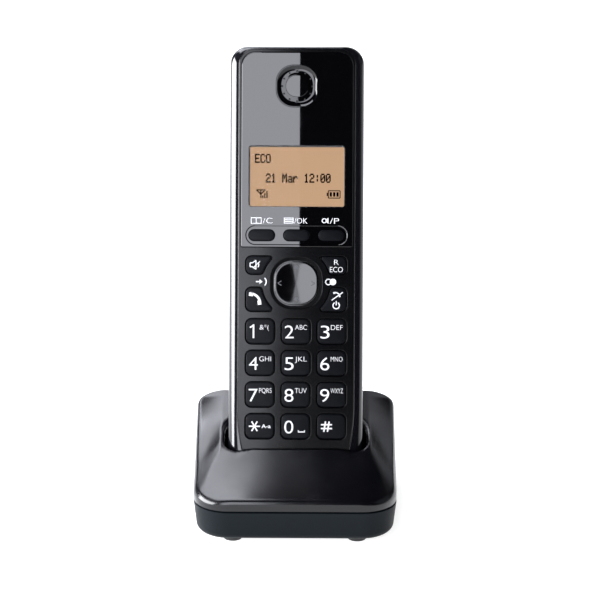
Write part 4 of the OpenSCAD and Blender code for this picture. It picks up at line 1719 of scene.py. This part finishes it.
@dataclass
class Keys:
    """All the keys of the handset and their legends."""

    plan: KeyPlan = field(default_factory=KeyPlan)
    edge: float = 0.35
    letter_spans: tuple[float, ...] = (0.0, 1.4, 2.9, 4.2, 4.45)
    digits: tuple[tuple[str, str, str], ...] = (
        ("1", "1", "&*("),
        ("2", "2", "ABC"),
        ("3", "3", "DEF"),
        ("4", "4", "GHI"),
        ("5", "5", "JKL"),
        ("6", "6", "MNO"),
        ("7", "7", "PQRS"),
        ("8", "8", "TUV"),
        ("9", "9", "WXYZ"),
        ("star", "*", "A-a"),
        ("0", "0", ""),
        ("hash", "#", ""),
    )

    def numbers(self) -> None:
        """Builds the twelve number keys with their digits and letters."""
        p = self.plan
        for i, (word, digit, letters) in enumerate(self.digits):
            col, row = i % 3 - 1, i // 3
            cx, cz = col * p.pitch_x, p.top_z - row * p.pitch_z
            front = -p.proud + 0.1
            cap = key_cap(f"key_{word}_cap", p.number(col, row), (cx, cz), front, self.edge, 0.12)
            place_piece(cap, FINISH.key_plastic, f"key_{word}", "key_plastic", f"key_{word}")
            mark = Legend(f"legend_{word}", front - 0.12)
            mark.thick = 0.06
            if digit == "*":
                for turn in (0, 60, 120):
                    a = math.radians(turn)
                    d = (2.0 * math.cos(a), 2.0 * math.sin(a))
                    mark.bar((-d[0], -d[1]), d, 0.46, cx - 1.9, cz)
                mark.text(letters, cx + 0.6, cz - 0.6, 1.4, 3.3, 0.02)
            elif digit == "#":
                for t in (-1, 1):
                    mark.bar((t * 0.65 - 0.3, -1.85), (t * 0.65 + 0.3, 1.85), 0.5, cx - 1.7, cz)
                    mark.bar((-1.95, t * 0.68), (1.95, t * 0.68), 0.48, cx - 1.7, cz)
            elif digit == "1":
                mark.bar((0, -2.45), (0, 2.45), 0.54, cx - 2.4, cz)
                mark.bar((-1.3, 1.3), (0.1, 2.2), 0.46, cx - 2.4, cz)
                mark.text(letters, cx - 0.2, cz + 0.6, 1.8, 3.3, -0.03)
            else:
                mark.text(digit, cx - 4.0, cz - 2.5, 4.9, 3.2, -0.055)
                if letters:
                    mark.text(letters, cx - 0.3, cz + 0.6, 1.85, self.letter_spans[len(letters)], -0.035)
            if word == "0":
                mark.bar((1.0, -2.0), (1.0, -1.35), 0.3, cx, cz)
                mark.bar((0.85, -1.95), (3.35, -1.95), 0.35, cx, cz)
                mark.bar((3.2, -2.0), (3.2, -1.35), 0.3, cx, cz)
            place_piece(mark.joined(), FINISH.print_white, f"key_{word}", "key_plastic")

    def soft(self) -> None:
        """Builds the three soft keys in the panel's slot, and the signs above them."""
        p = self.plan
        for name, col in (("left", -1), ("middle", 0), ("right", 1)):
            centre = (col * p.soft_pitch, p.soft_z)
            cap = key_cap(f"softkey_{name}_cap", p.soft(col), centre, -p.soft_proud + 0.12, 0.3, 0.15)
            place_piece(cap, FINISH.key_plastic, f"softkey_{name}", "key_plastic", f"softkey_{name}")
        signs = Legend("legend_soft_keys", -0.37)
        z = 96.5
        left, mid, right = -16.2, -4.4, 9.2
        for i in (0, 1):
            x = left + 1.8 * i
            for v in (0, 2.0):
                signs.bar((0, v), (1.8, v), 0.25, x, z)
            for u in (0, 1.8):
                signs.bar((u, -0.15), (u, 2.15), 0.25, x, z)
        signs.text("/C", left + 4.2, z, 2.1, 3.4, -0.03)
        for i in range(4):
            signs.bar((0, 0.15 + 0.6 * i), (3.2, 0.15 + 0.6 * i), 0.26, mid, z)
        signs.bar((0.0, 0.02), (0.0, 2.08), 0.26, mid, z)
        signs.bar((3.2, 0.02), (3.2, 2.08), 0.26, mid, z)
        signs.text("/OK", mid + 3.6, z, 2.1, 4.7, -0.03)
        signs.arc(0.75, 0.3, 0, 360, right + 0.7, z + 1.05)
        signs.shape([(1.15, 0.75), (2.2, 0.0), (2.2, 2.1), (1.15, 1.35)], right, z)
        signs.text("/P", right + 2.7, z, 2.1, 3.3, -0.03)
        place_piece(signs.joined(), FINISH.print_white, "handset", "panel_gloss")

    def beside(self) -> None:
        """Builds the four keys beside the navigator with their signs."""
        p = self.plan
        for name, s, spot, sign in (
            ("speaker", -1, p.upper, self.sign_speaker),
            ("talk", -1, p.lower, self.sign_talk),
            ("recall", 1, p.upper, self.sign_recall),
            ("off", 1, p.lower, self.sign_off),
        ):
            flat = p.side(s, spot)
            centre = (s * (p.side_x + 0.6), spot[0])
            front = -p.proud + 0.1
            cap = key_cap(f"key_{name}_cap", flat, centre, front, 0.3, 0.1, (0.45, 1.8, 2.3))
            place_piece(cap, FINISH.key_plastic, f"key_{name}", "key_plastic", f"key_{name}")
            mark = Legend(f"legend_{name}", front - 0.09)
            mark.thick = 0.06
            sign(mark)
            place_piece(mark.joined(), FINISH.print_white, f"key_{name}", "key_plastic")

    def sign_speaker(self, mark: Legend) -> None:
        """Draws a loudspeaker with one sound wave and a slash.

        Args:
            mark: the print that takes it.
        """
        x, z = -14.9, self.plan.upper[0] + 0.1
        for a, b in (
            ((-1.6, -0.7), (-1.6, 0.7)),
            ((-1.6, 0.7), (-0.7, 0.7)),
            ((-1.6, -0.7), (-0.7, -0.7)),
            ((-0.7, 0.7), (0.5, 1.6)),
            ((-0.7, -0.7), (0.5, -1.6)),
            ((0.5, -1.6), (0.5, 1.6)),
        ):
            mark.bar(a, b, 0.32, x, z)
        mark.arc(1.3, 0.32, -40, 40, x + 0.2, z)
        mark.bar((-0.6, -1.2), (1.9, 1.2), 0.26, x, z)

    def handset_sign(self, mark: Legend, x: float, z: float, turn: float, r: float) -> None:
        """Draws a receiver: a curved stroke with two thick ends.

        Args:
            mark: the print that takes it.
            x: place of its back's middle, across.
            z: place of its back's middle, up.
            turn: direction in degrees in which it bulges.
            r: radius of its back.
        """
        a0, a1 = turn - 38, turn + 38
        cx = x - r * math.cos(math.radians(turn))
        cz = z - r * math.sin(math.radians(turn))
        mark.arc(r, 0.22 * r, a0, a1, cx, cz)
        for a in (a0, a1):
            t = math.radians(a)
            ux, uz = -math.sin(t), math.cos(t)
            px, pz = 0.93 * r * math.cos(t), 0.93 * r * math.sin(t)
            dx, dz = ux * 0.2 * r, uz * 0.2 * r
            mark.bar((px - dx, pz - dz), (px + dx, pz + dz), 0.34 * r, cx, cz)

    def sign_talk(self, mark: Legend) -> None:
        """Draws a lifted receiver."""
        self.handset_sign(mark, -13.9, self.plan.lower[0] + 1.0, 45, 3.7)

    def sign_recall(self, mark: Legend) -> None:
        """Writes the recall and saving words."""
        mark.text("R", 13.5, 81.8, 2.0, 1.6, -0.03)
        mark.text("ECO", 12.0, 79.2, 2.0, 4.6, -0.03)

    def sign_off(self, mark: Legend) -> None:
        """Draws a receiver with a stroke across it, and the power sign.

        Args:
            mark: the print that takes it.
        """
        self.handset_sign(mark, 14.8, 71.7, 60, 1.9)
        mark.bar((-1.9, -1.5), (2.0, 1.3), 0.34, 14.6, 70.7)
        mark.arc(1.15, 0.34, 120, 420, 14.3, 67.3)
        mark.bar((0, 0.1), (0, 1.6), 0.34, 14.3, 67.3)

    def navigator(self) -> None:
        """Builds the dished navigator cap with its raised marks."""
        p = self.plan
        flat = p.nav()
        centre = (0.0, p.nav_z)
        cap = key_cap("navigator_cap", flat, centre, -0.9, 0.4, -0.5, (0.5, 2.1, 2.5))
        place_piece(cap, FINISH.nav_gloss, "navigator_key", "nav_gloss", "navigator_key")
        # The raised marks are grey: painted highlight of the small bumps.
        marks = Legend("navigator_marks", -0.74)
        marks.thick = 0.12
        for t in (-1, 1):
            marks.disc(0.75, 0, p.nav_z + t * 5.7)
            for u in (-1, 1):
                marks.bar((t * 6.6, 0), (t * 5.3, u * 0.8), 0.3, 0, p.nav_z)
        place_piece(marks.joined(), FINISH.painted_highlight_grey, "navigator_key", "nav_gloss")
        # A dull black ring lines the moat round the navigator: painted shade, where the recess falls dark.
        ring = Draft()
        outer, inner, back = rect(p.moat_w - 0.1, p.moat_w - 0.1, 7.55, 0, p.nav_z, 14), p.nav(0.36), 0.79
        rings = [ring.level(outer, back), ring.level(outer, 0.5)]
        rings += [ring.level(inner, 0.66), ring.level(inner, back)]
        ring.stack([*rings, rings[0]])
        place_piece(ring.made("navigator_shade_ring", HANDSET), FINISH.shadow, "handset", "front_satin")
        signs = Legend("legend_front", -0.02)
        signs.bar((-14.4, 75.7), (-12.8, 75.7), 0.42, 0, 0)
        signs.shape([(-13.1, 74.9), (-12.0, 75.7), (-13.1, 76.5)], 0, 0)
        signs.arc(1.7, 0.4, -50, 50, -12.4, 75.7)
        signs.arc(1.0, 0.34, 0, 360, 11.5, 75.7)
        signs.disc(1.15, 13.1, 75.7)
        place_piece(signs.joined(), FINISH.print_white, "handset", "front_satin")

    def build(self) -> None:
        """Builds every key."""
        self.numbers()
        self.soft()
        self.beside()
        self.navigator()


# ---- Cradle ----


def soft_min(a: float, b: float, k: float) -> float:
    """Returns the lower of two heights, rounded over a span k where they meet."""
    h = max(k - abs(a - b), 0.0) / k
    return min(a, b) - h * h * k / 4


@dataclass
class Cradle:
    """The charging cradle: upper and lower cabinet and feet, in its own frame (x, depth, height)."""

    half_w: float = 36.0
    depth: float = 72.0
    front_r: float = 12.5
    rear_r: float = 9.0
    foot_h: float = 1.6
    ramp_start: float = 4.2
    ramp_r: float = 130.0
    edge_r: float = 1.5
    rim_r: float = 1.7
    ridge_k: float = 2.4
    pocket_gap: float = 1.5
    bucket_wall: float = 1.6
    wall: float = 2.0
    draft_in: float = 0.9
    heel_r: float = 3.0
    foot_x: float = 22.0
    foot_d: tuple[float, float] = (7.4, 64.5)
    foot_r: float = 3.4
    foot_flare: float = 0.9
    screw: tuple[float, float] = (27.0, 56.0)
    jack: tuple[float, float] = (18.0, 9.2)

    def plan(self, g: float, soften: float = 1.0, fine: bool = True) -> Flat:
        """Draws the outline from above.

        Args:
            g: distance inwards.
            soften: how fast its corners shrink with that distance.
            fine: whether it has the full count of points.

        Returns:
            The outline's points.
        """
        n = 2 if fine else 1
        shape = Outline(
            self.half_w - g,
            g,
            self.depth - g,
            max(self.front_r - g * soften, 0.4),
            max(self.rear_r - g * soften, 0.4),
            14 * n,
            18 * n,
            10 * n,
        )
        return shape.points()

    def ramp(self, d: float) -> float:
        """Works out the hollow ramp in front of the handset.

        Args:
            d: depth from the cradle's front.

        Returns:
            Its height.
        """
        slope = math.atan2(LIP_H - self.ramp_start, LIP_D)
        chord = math.hypot(LIP_D, LIP_H - self.ramp_start)
        reach = math.sqrt(self.ramp_r**2 - (chord / 2) ** 2)
        cd = LIP_D / 2 - reach * math.sin(slope)
        ch = SEAM_H + (self.ramp_start + LIP_H) / 2 + reach * math.cos(slope)
        return ch - math.sqrt(max(self.ramp_r**2 - (d - cd) ** 2, 1.0))

    def facet(self, x: float, d: float) -> float:
        """Returns the height of the corner slope."""
        return SEAM_H + 12.27 - 0.318 * abs(x) + 0.4165 * d

    def wing(self, x: float, d: float) -> float:
        """Works out the top beside the handset.

        Args:
            x: place across.
            d: depth from the cradle's front.

        Returns:
            Its height.
        """
        fall = 0.7 + 8.0 * max(0.0, (66.0 - d) / 54.0)
        out = max(0.0, abs(x) - 26.7)
        dip = 0.5 * fall / 8.0 * math.sin(math.pi * min(out / 9.6, 1.0))
        return SEAM_H + 12.3 + 0.085 * d - fall * out / 9.6 - dip

    def height(self, x: float, d: float) -> float:
        """Works out the upper cabinet's top before its edges are rounded.

        Args:
            x: place across.
            d: depth from the cradle's front.

        Returns:
            Its height.
        """
        front = soft_min(self.ramp(d), self.facet(x, d), 1.2)
        aside = min(max((abs(x) - 15) / 6, 0.0), 1.0)
        return soft_min(front, self.wing(x, d), 0.4 + (self.ridge_k - 0.4) * aside)

    def pocket_distance(self, x: float, d: float, h: float) -> float:
        """Returns the distance outside the pocket's wall, negative inside it.

        Args:
            x: place across.
            d: depth from the cradle's front.
            h: height.

        Returns:
            The distance in millimetres, measured across the handset.
        """
        dd, dh = d - HS_D0, h - HS_H0
        y = dd * math.cos(TILT) - dh * math.sin(TILT)
        z = dd * math.sin(TILT) + dh * math.cos(TILT)
        g = self.pocket_gap
        back = HS_T - BACK_R + math.sqrt(BACK_R**2 - (z - BACK_Z) ** 2) + g
        front = 0.5 - g
        mid, half = (front + back) / 2, (back - front) / 2
        r = (9.6 if y > mid else 4.0) + g
        qx, qy = abs(x) - (24.0 + g - r), abs(y - mid) - (half - r)
        return math.hypot(max(qx, 0.0), max(qy, 0.0)) + min(max(qx, qy), 0.0) - r

    def upper(self) -> None:
        """Builds the upper cabinet with its ramp, corner slopes, wings and the pocket."""
        rings, draft = [], Draft()
        base = SEAM_H + 0.15
        r = self.edge_r
        rings.append(draft.ring((x, d, base) for x, d in self.plan(0.25)))
        rings.append(draft.ring((x, d, base + 0.25) for x, d in self.plan(0.0)))

        def top(x: float, d: float, drop: float) -> float:
            """Works out the top with the pocket's round rim taken off.

            Args:
                x: place across.
                d: depth from the cradle's front.
                drop: distance below the top.

            Returns:
                The height.
            """
            h = self.height(x, d) - drop
            near = self.pocket_distance(x, d, h)
            aside = min(max((abs(x) - 18) / 7, (d - 30) / 6, 0.0), 1.0)
            rim = self.rim_r * (0.2 + 0.8 * aside)
            if near < rim:
                e = max(near, 0.0)
                h -= rim - math.sqrt(max(rim**2 - (rim - e) ** 2, 0.0))
            return h

        steps = 8
        for i in range(steps + 1):
            a = math.pi / 2 * i / steps
            g, drop = r * (1 - math.cos(a)), r * (1 - math.sin(a))
            rings.append(draft.ring((x, d, max(top(x, d, drop), base + 0.5)) for x, d in self.plan(g, 0.6)))
        span = self.half_w - r - 1.0
        count = 76
        for i in range(1, count + 1):
            g = r + span * i / count
            rings.append(draft.ring((x, d, top(x, d, 0.0)) for x, d in self.plan(g, 0.42)))
        draft.stack(rings)
        draft.zip(rings[-1])
        draft.zip(rings[0])
        cap = draft.made("charger_upper_cabinet", CRADLE, CREASE_CABINET)

        hollow = self.block(self.wall, 2.4)
        cut(cap, [hollow], Cut.TAKE)
        bucket = BodyShape(grow=self.pocket_gap + self.bucket_wall).solid()
        limit = self.block(1.0, 1.2, low=self.foot_h + 2.1, straight=True)
        cut(bucket, [limit], Cut.KEEP)
        cut(cap, [bucket], Cut.ADD)
        pocket = BodyShape(grow=self.pocket_gap).solid()
        ribs = [prism(rect(1.5, 4.7, 0.1, s * 5.0, -2.65), 4, 12, HANDSET) for s in (-1, 1)]
        cut(pocket, ribs, Cut.TAKE)
        slots = [prism(rect(3.8, 8.0, 0.1, s * 11.0, -4.0), 6.6, 10.4, HANDSET) for s in (-1, 1)]
        cut(cap, [pocket, *slots], Cut.TAKE, CREASE_SHELL)
        even(cap)
        place_piece(cap, FINISH.cradle_upper, "charger", "charger_upper_plastic", "charger_top_cover")

    def block(self, g: float, down: float, low: float = 0.0, straight: bool = False) -> bpy.types.Object:
        """Makes a block under the upper cabinet's top.

        Args:
            g: distance inside its outline.
            down: distance below its top.
            low: height of the block's underside.
            straight: whether the block is drawn in far enough to stand in the lower cabinet.

        Returns:
            The block.
        """
        draft = Draft()
        edge = g + (3.0 if straight else 0.0)
        rings = [draft.ring((x, d, low) for x, d in self.plan(edge, 1.0, False))]
        for i in range(25):
            inner = edge + (self.half_w - edge - 1.2) * i / 24
            flat = self.plan(inner, 0.42, False)
            rings.append(draft.ring((x, d, self.height(x, d) - down) for x, d in flat))
        draft.stack(rings)
        draft.zip(rings[0])
        draft.zip(rings[-1])
        return draft.made("tool", CRADLE)

    def tub(self, g: float, name: str = "tool") -> bpy.types.Object:
        """Makes the lower cabinet's full form.

        Args:
            g: distance inside its outline.
            name: name of the object.

        Returns:
            The closed mesh.
        """
        draft = Draft()
        top = SEAM_H - (0.15 if g == 0 else 0.0)
        knee = self.foot_h + self.heel_r
        rings = []
        if g == 0:
            rings.append(draft.ring((x, d, top) for x, d in self.plan(0.25)))
            rings.append(draft.ring((x, d, top - 0.25) for x, d in self.plan(0.0)))
        else:
            rings.append(draft.ring((x, d, top + 5) for x, d in self.plan(g)))
        r = self.heel_r - g * 0.6
        steps = 8
        for i in range(steps + 1):
            a = math.pi / 2 * i / steps
            inward = g + self.draft_in + r * (1 - math.cos(a))
            h = knee - r * math.sin(a)
            rings.append(draft.ring((x, d, h) for x, d in self.plan(inward)))
        draft.stack(rings)
        draft.zip(rings[0])
        draft.zip(rings[-1])
        return draft.made(name, CRADLE, CREASE_SHELL)

    def lower(self) -> None:
        """Builds the lower cabinet: drafted walls, round heel, foot recesses, screw and inlet holes."""
        tub = self.tub(0, "charger_lower_cabinet")
        inside = self.tub(1.8)
        tools = [inside]
        sx, sd = self.screw
        for s in (-1, 1):
            tools.append(self.post(s * sx, sd, 1.5, -1, 10))
            for d in self.foot_d:
                recess_r = self.foot_r + self.foot_flare - 0.05
                tools.append(self.post(s * self.foot_x, d, recess_r, -1, self.foot_h + 0.6))
        for s in (-1, 1):
            tools.append(self.post(s * sx, sd, 2.4, -1, self.foot_h + 1.1))
        jx, jh = self.jack
        turn = [2 * math.pi * i / 40 - math.pi / 2 for i in range(40)]
        flat = [(jx + 3.65 * math.cos(a), jh + 3.65 * math.sin(a)) for a in turn]
        tools.append(prism(flat, self.depth - 6, self.depth + 2, CRADLE))
        cut(tub, tools, Cut.TAKE, CREASE_SHELL)
        even(tub)
        place_piece(tub, FINISH.cradle_lower, "charger", "charger_lower_plastic", "charger_bottom_cover")

    def post(self, x: float, d: float, r: float, h0: float, h1: float) -> bpy.types.Object:
        """Makes an upright cutting rod."""
        shift = CRADLE @ Matrix.Translation((x, d, 0))
        return lathe("tool", ((r, h0), (r, h1)), shift, 40)

    def feet(self) -> None:
        """Builds the four rubber feet."""
        for side, s in (("left", -1), ("right", 1)):
            for end, d in zip(("front", "rear"), self.foot_d):
                r0, r1 = self.foot_r, self.foot_r + self.foot_flare
                profile = [
                    (r0 - 0.5, 0.0),
                    (r0 - 0.2, 0.06),
                    (r0, 0.3),
                    (r1 - 0.25, self.foot_h - 0.35),
                    (r1 - 0.1, self.foot_h - 0.1),
                    (r1 - 0.1, self.foot_h + 0.5),
                ]
                shift = CRADLE @ Matrix.Translation((s * self.foot_x, d, 0))
                foot = lathe(f"foot_{end}_{side}_rubber", profile, shift)
                place_piece(foot, FINISH.foot_rubber, "charger", "foot_rubber", f"foot_{end}_{side}")

    def build(self) -> None:
        """Builds the cradle's pieces."""
        self.upper()
        self.lower()
        self.feet()


# ---- Inner pieces carried from the CAD ----


@dataclass(frozen=True)
class Carried:
    """The CAD nodes that keep their shape, by the record's material slot."""

    finish_of: tuple[tuple[str, Finish], ...] = (
        ("circuit_board", FINISH.board),
        ("contact_gold", FINISH.gold),
        ("black_moulding", FINISH.black),
        ("nickel", FINISH.nickel),
        ("screw_steel", FINISH.screw),
        ("white_moulding", FINISH.white),
        ("mat_rubber", FINISH.mat_rubber),
        ("cell_jacket", FINISH.cell),
    )

    def dress(self) -> None:
        """Gives every carried node its finish."""
        finishes = dict(self.finish_of)
        for row in frame["record"]["subparts"]:
            finish = FINISH.black if row["node"] == "receiver_speaker" else finishes.get(row["material_slot"])
            if finish is not None:
                finish.dress(frame["nodes"][row["node"]])
                LOG.info("%s keeps its CAD shape", row["node"])


# ---- Studio ----


@dataclass(frozen=True)
class Softbox:
    """A rectangular light."""

    name: str
    at: Point
    look: Point
    size: tuple[float, float]
    radiance: float
    color: tuple[float, float, float] = (1.0, 1.0, 1.0)

    def build(self) -> None:
        """Adds the light."""
        light = bpy.data.lights.new(self.name, "AREA")
        light.shape = "RECTANGLE"
        light.size, light.size_y = self.size
        light.energy = self.radiance * math.pi * self.size[0] * self.size[1]
        light.color = self.color
        obj = bpy.data.objects.new(self.name, light)
        obj.location = self.at
        aim = Vector(self.look) - Vector(self.at)
        obj.rotation_euler = aim.to_track_quat("-Z", "Y").to_euler()
        obj.visible_camera = False
        bpy.context.scene.collection.objects.link(obj)


@dataclass
class Studio:
    """Camera, floor and lights."""

    target: Point = (0.0, 0.0, 0.075)
    distance: float = 1.27134
    elevation: float = 0.35177
    yaw: float = -0.0025942
    roll: float = 0.0041836
    focal: float = 3555.3 / 600
    shift: tuple[float, float] = (0.0064236, 0.0022111)

    def axes(self) -> tuple[Vector, Vector, Vector]:
        """Works out the camera's directions.

        Returns:
            Its right, up and view directions.
        """
        e, w = self.elevation, self.yaw
        view = Vector((math.sin(w) * math.cos(e), math.cos(w) * math.cos(e), -math.sin(e)))
        right = Vector((math.cos(w), -math.sin(w), 0))
        up = right.cross(view)
        c, s = math.cos(self.roll), math.sin(self.roll)
        return right * c + up * s, up * c - right * s, view

    def camera(self) -> None:
        """Adds the camera."""
        right, up, view = self.axes()
        data = bpy.data.cameras.new("camera")
        data.sensor_width = 36.0
        data.lens = 36.0 * self.focal
        data.shift_x, data.shift_y = self.shift
        data.clip_end = 50
        obj = bpy.data.objects.new("camera", data)
        turn = Matrix((right, up, -view)).transposed().to_4x4()
        obj.matrix_world = Matrix.Translation(Vector(self.target) - view * self.distance) @ turn
        bpy.context.scene.collection.objects.link(obj)
        bpy.context.scene.camera = obj

    def floor(self) -> None:
        """Adds the pale floor."""
        draft = Draft()
        reach, low = 12000.0, -60.0
        ring = [(-reach, -reach), (reach, -reach), (reach, reach), (-reach, reach)]
        bottom = draft.ring((x, y, low) for x, y in ring)
        top = draft.ring((x, y, 0) for x, y in ring)
        draft.bridge(bottom, top)
        draft.faces += [tuple(bottom), tuple(top)]
        obj = draft.made("floor", SCALE)
        mat = bpy.data.materials.new("floor_paper")
        mat.use_nodes = True
        shader = mat.node_tree.nodes["Principled BSDF"]
        shader.inputs["Base Color"].default_value = (0.5, 0.5, 0.5, 1)
        shader.inputs["Roughness"].default_value = 0.9
        shader.inputs["Emission Color"].default_value = (1, 1, 1, 1)
        shader.inputs["Emission Strength"].default_value = 0.88
        obj.data.materials.append(mat)

    def lights(self) -> None:
        """Adds the softboxes and the dim room."""
        _, _, view = self.axes()
        back = Vector(self.target) - view * 1.75
        wide = 1.3
        main_at = back + Vector((-wide / 2 - 0.006, 0, 0))
        main_look = main_at + view
        cool = (0.9, 0.92, 1.0)
        for box in (
            Softbox("softbox_front_left", tuple(main_at), tuple(main_look), (wide, 1.5), 7.7, cool),
            Softbox("softbox_overhead", (-0.7, 0.45, 1.5), (-0.7, 0.3, 0.0), (1.3, 1.3), 8.5, cool),
            Softbox("softbox_left", (-1.3, -0.1, 0.3), (0, 0, 0.08), (1.3, 0.7), 24.0, (0.95, 0.97, 1.0)),
            Softbox("softbox_back", (-0.75, 2.1, 1.1), (0, 0, 0.1), (1.7, 0.8), 4.2, cool),
            Softbox("softbox_ridge", (-1.15, 1.4, 1.35), (0, 0, 0.03), (0.7, 0.4), 8.0, cool),
            Softbox("softbox_back_right", (1.0, 2.2, 0.9), (0, 0, 0.1), (1.6, 0.9), 0.6, cool),
            Softbox("softbox_right", (1.9, 0.3, 0.6), (0, 0, 0.08), (1.4, 1.2), 0.25, (0.85, 0.92, 1.0)),
        ):
            box.build()
        world = bpy.data.worlds.new("room")
        bpy.context.scene.world = world
        world.use_nodes = True
        world.node_tree.nodes["Background"].inputs["Color"].default_value = (0.012, 0.012, 0.014, 1)

    def build(self) -> None:
        """Sets the whole studio."""
        self.camera()
        self.floor()
        self.lights()
        bpy.context.scene.view_settings.view_transform = "Standard"


def main() -> None:
    """Builds the studio, the cradle, the handset and its keys around the frame."""
    logging.basicConfig(level=logging.INFO, format="%(message)s")
    Studio().build()
    Cradle().build()
    Handset().build()
    Keys().build()
    Carried().dress()


if __name__ == "__main__":
    main()
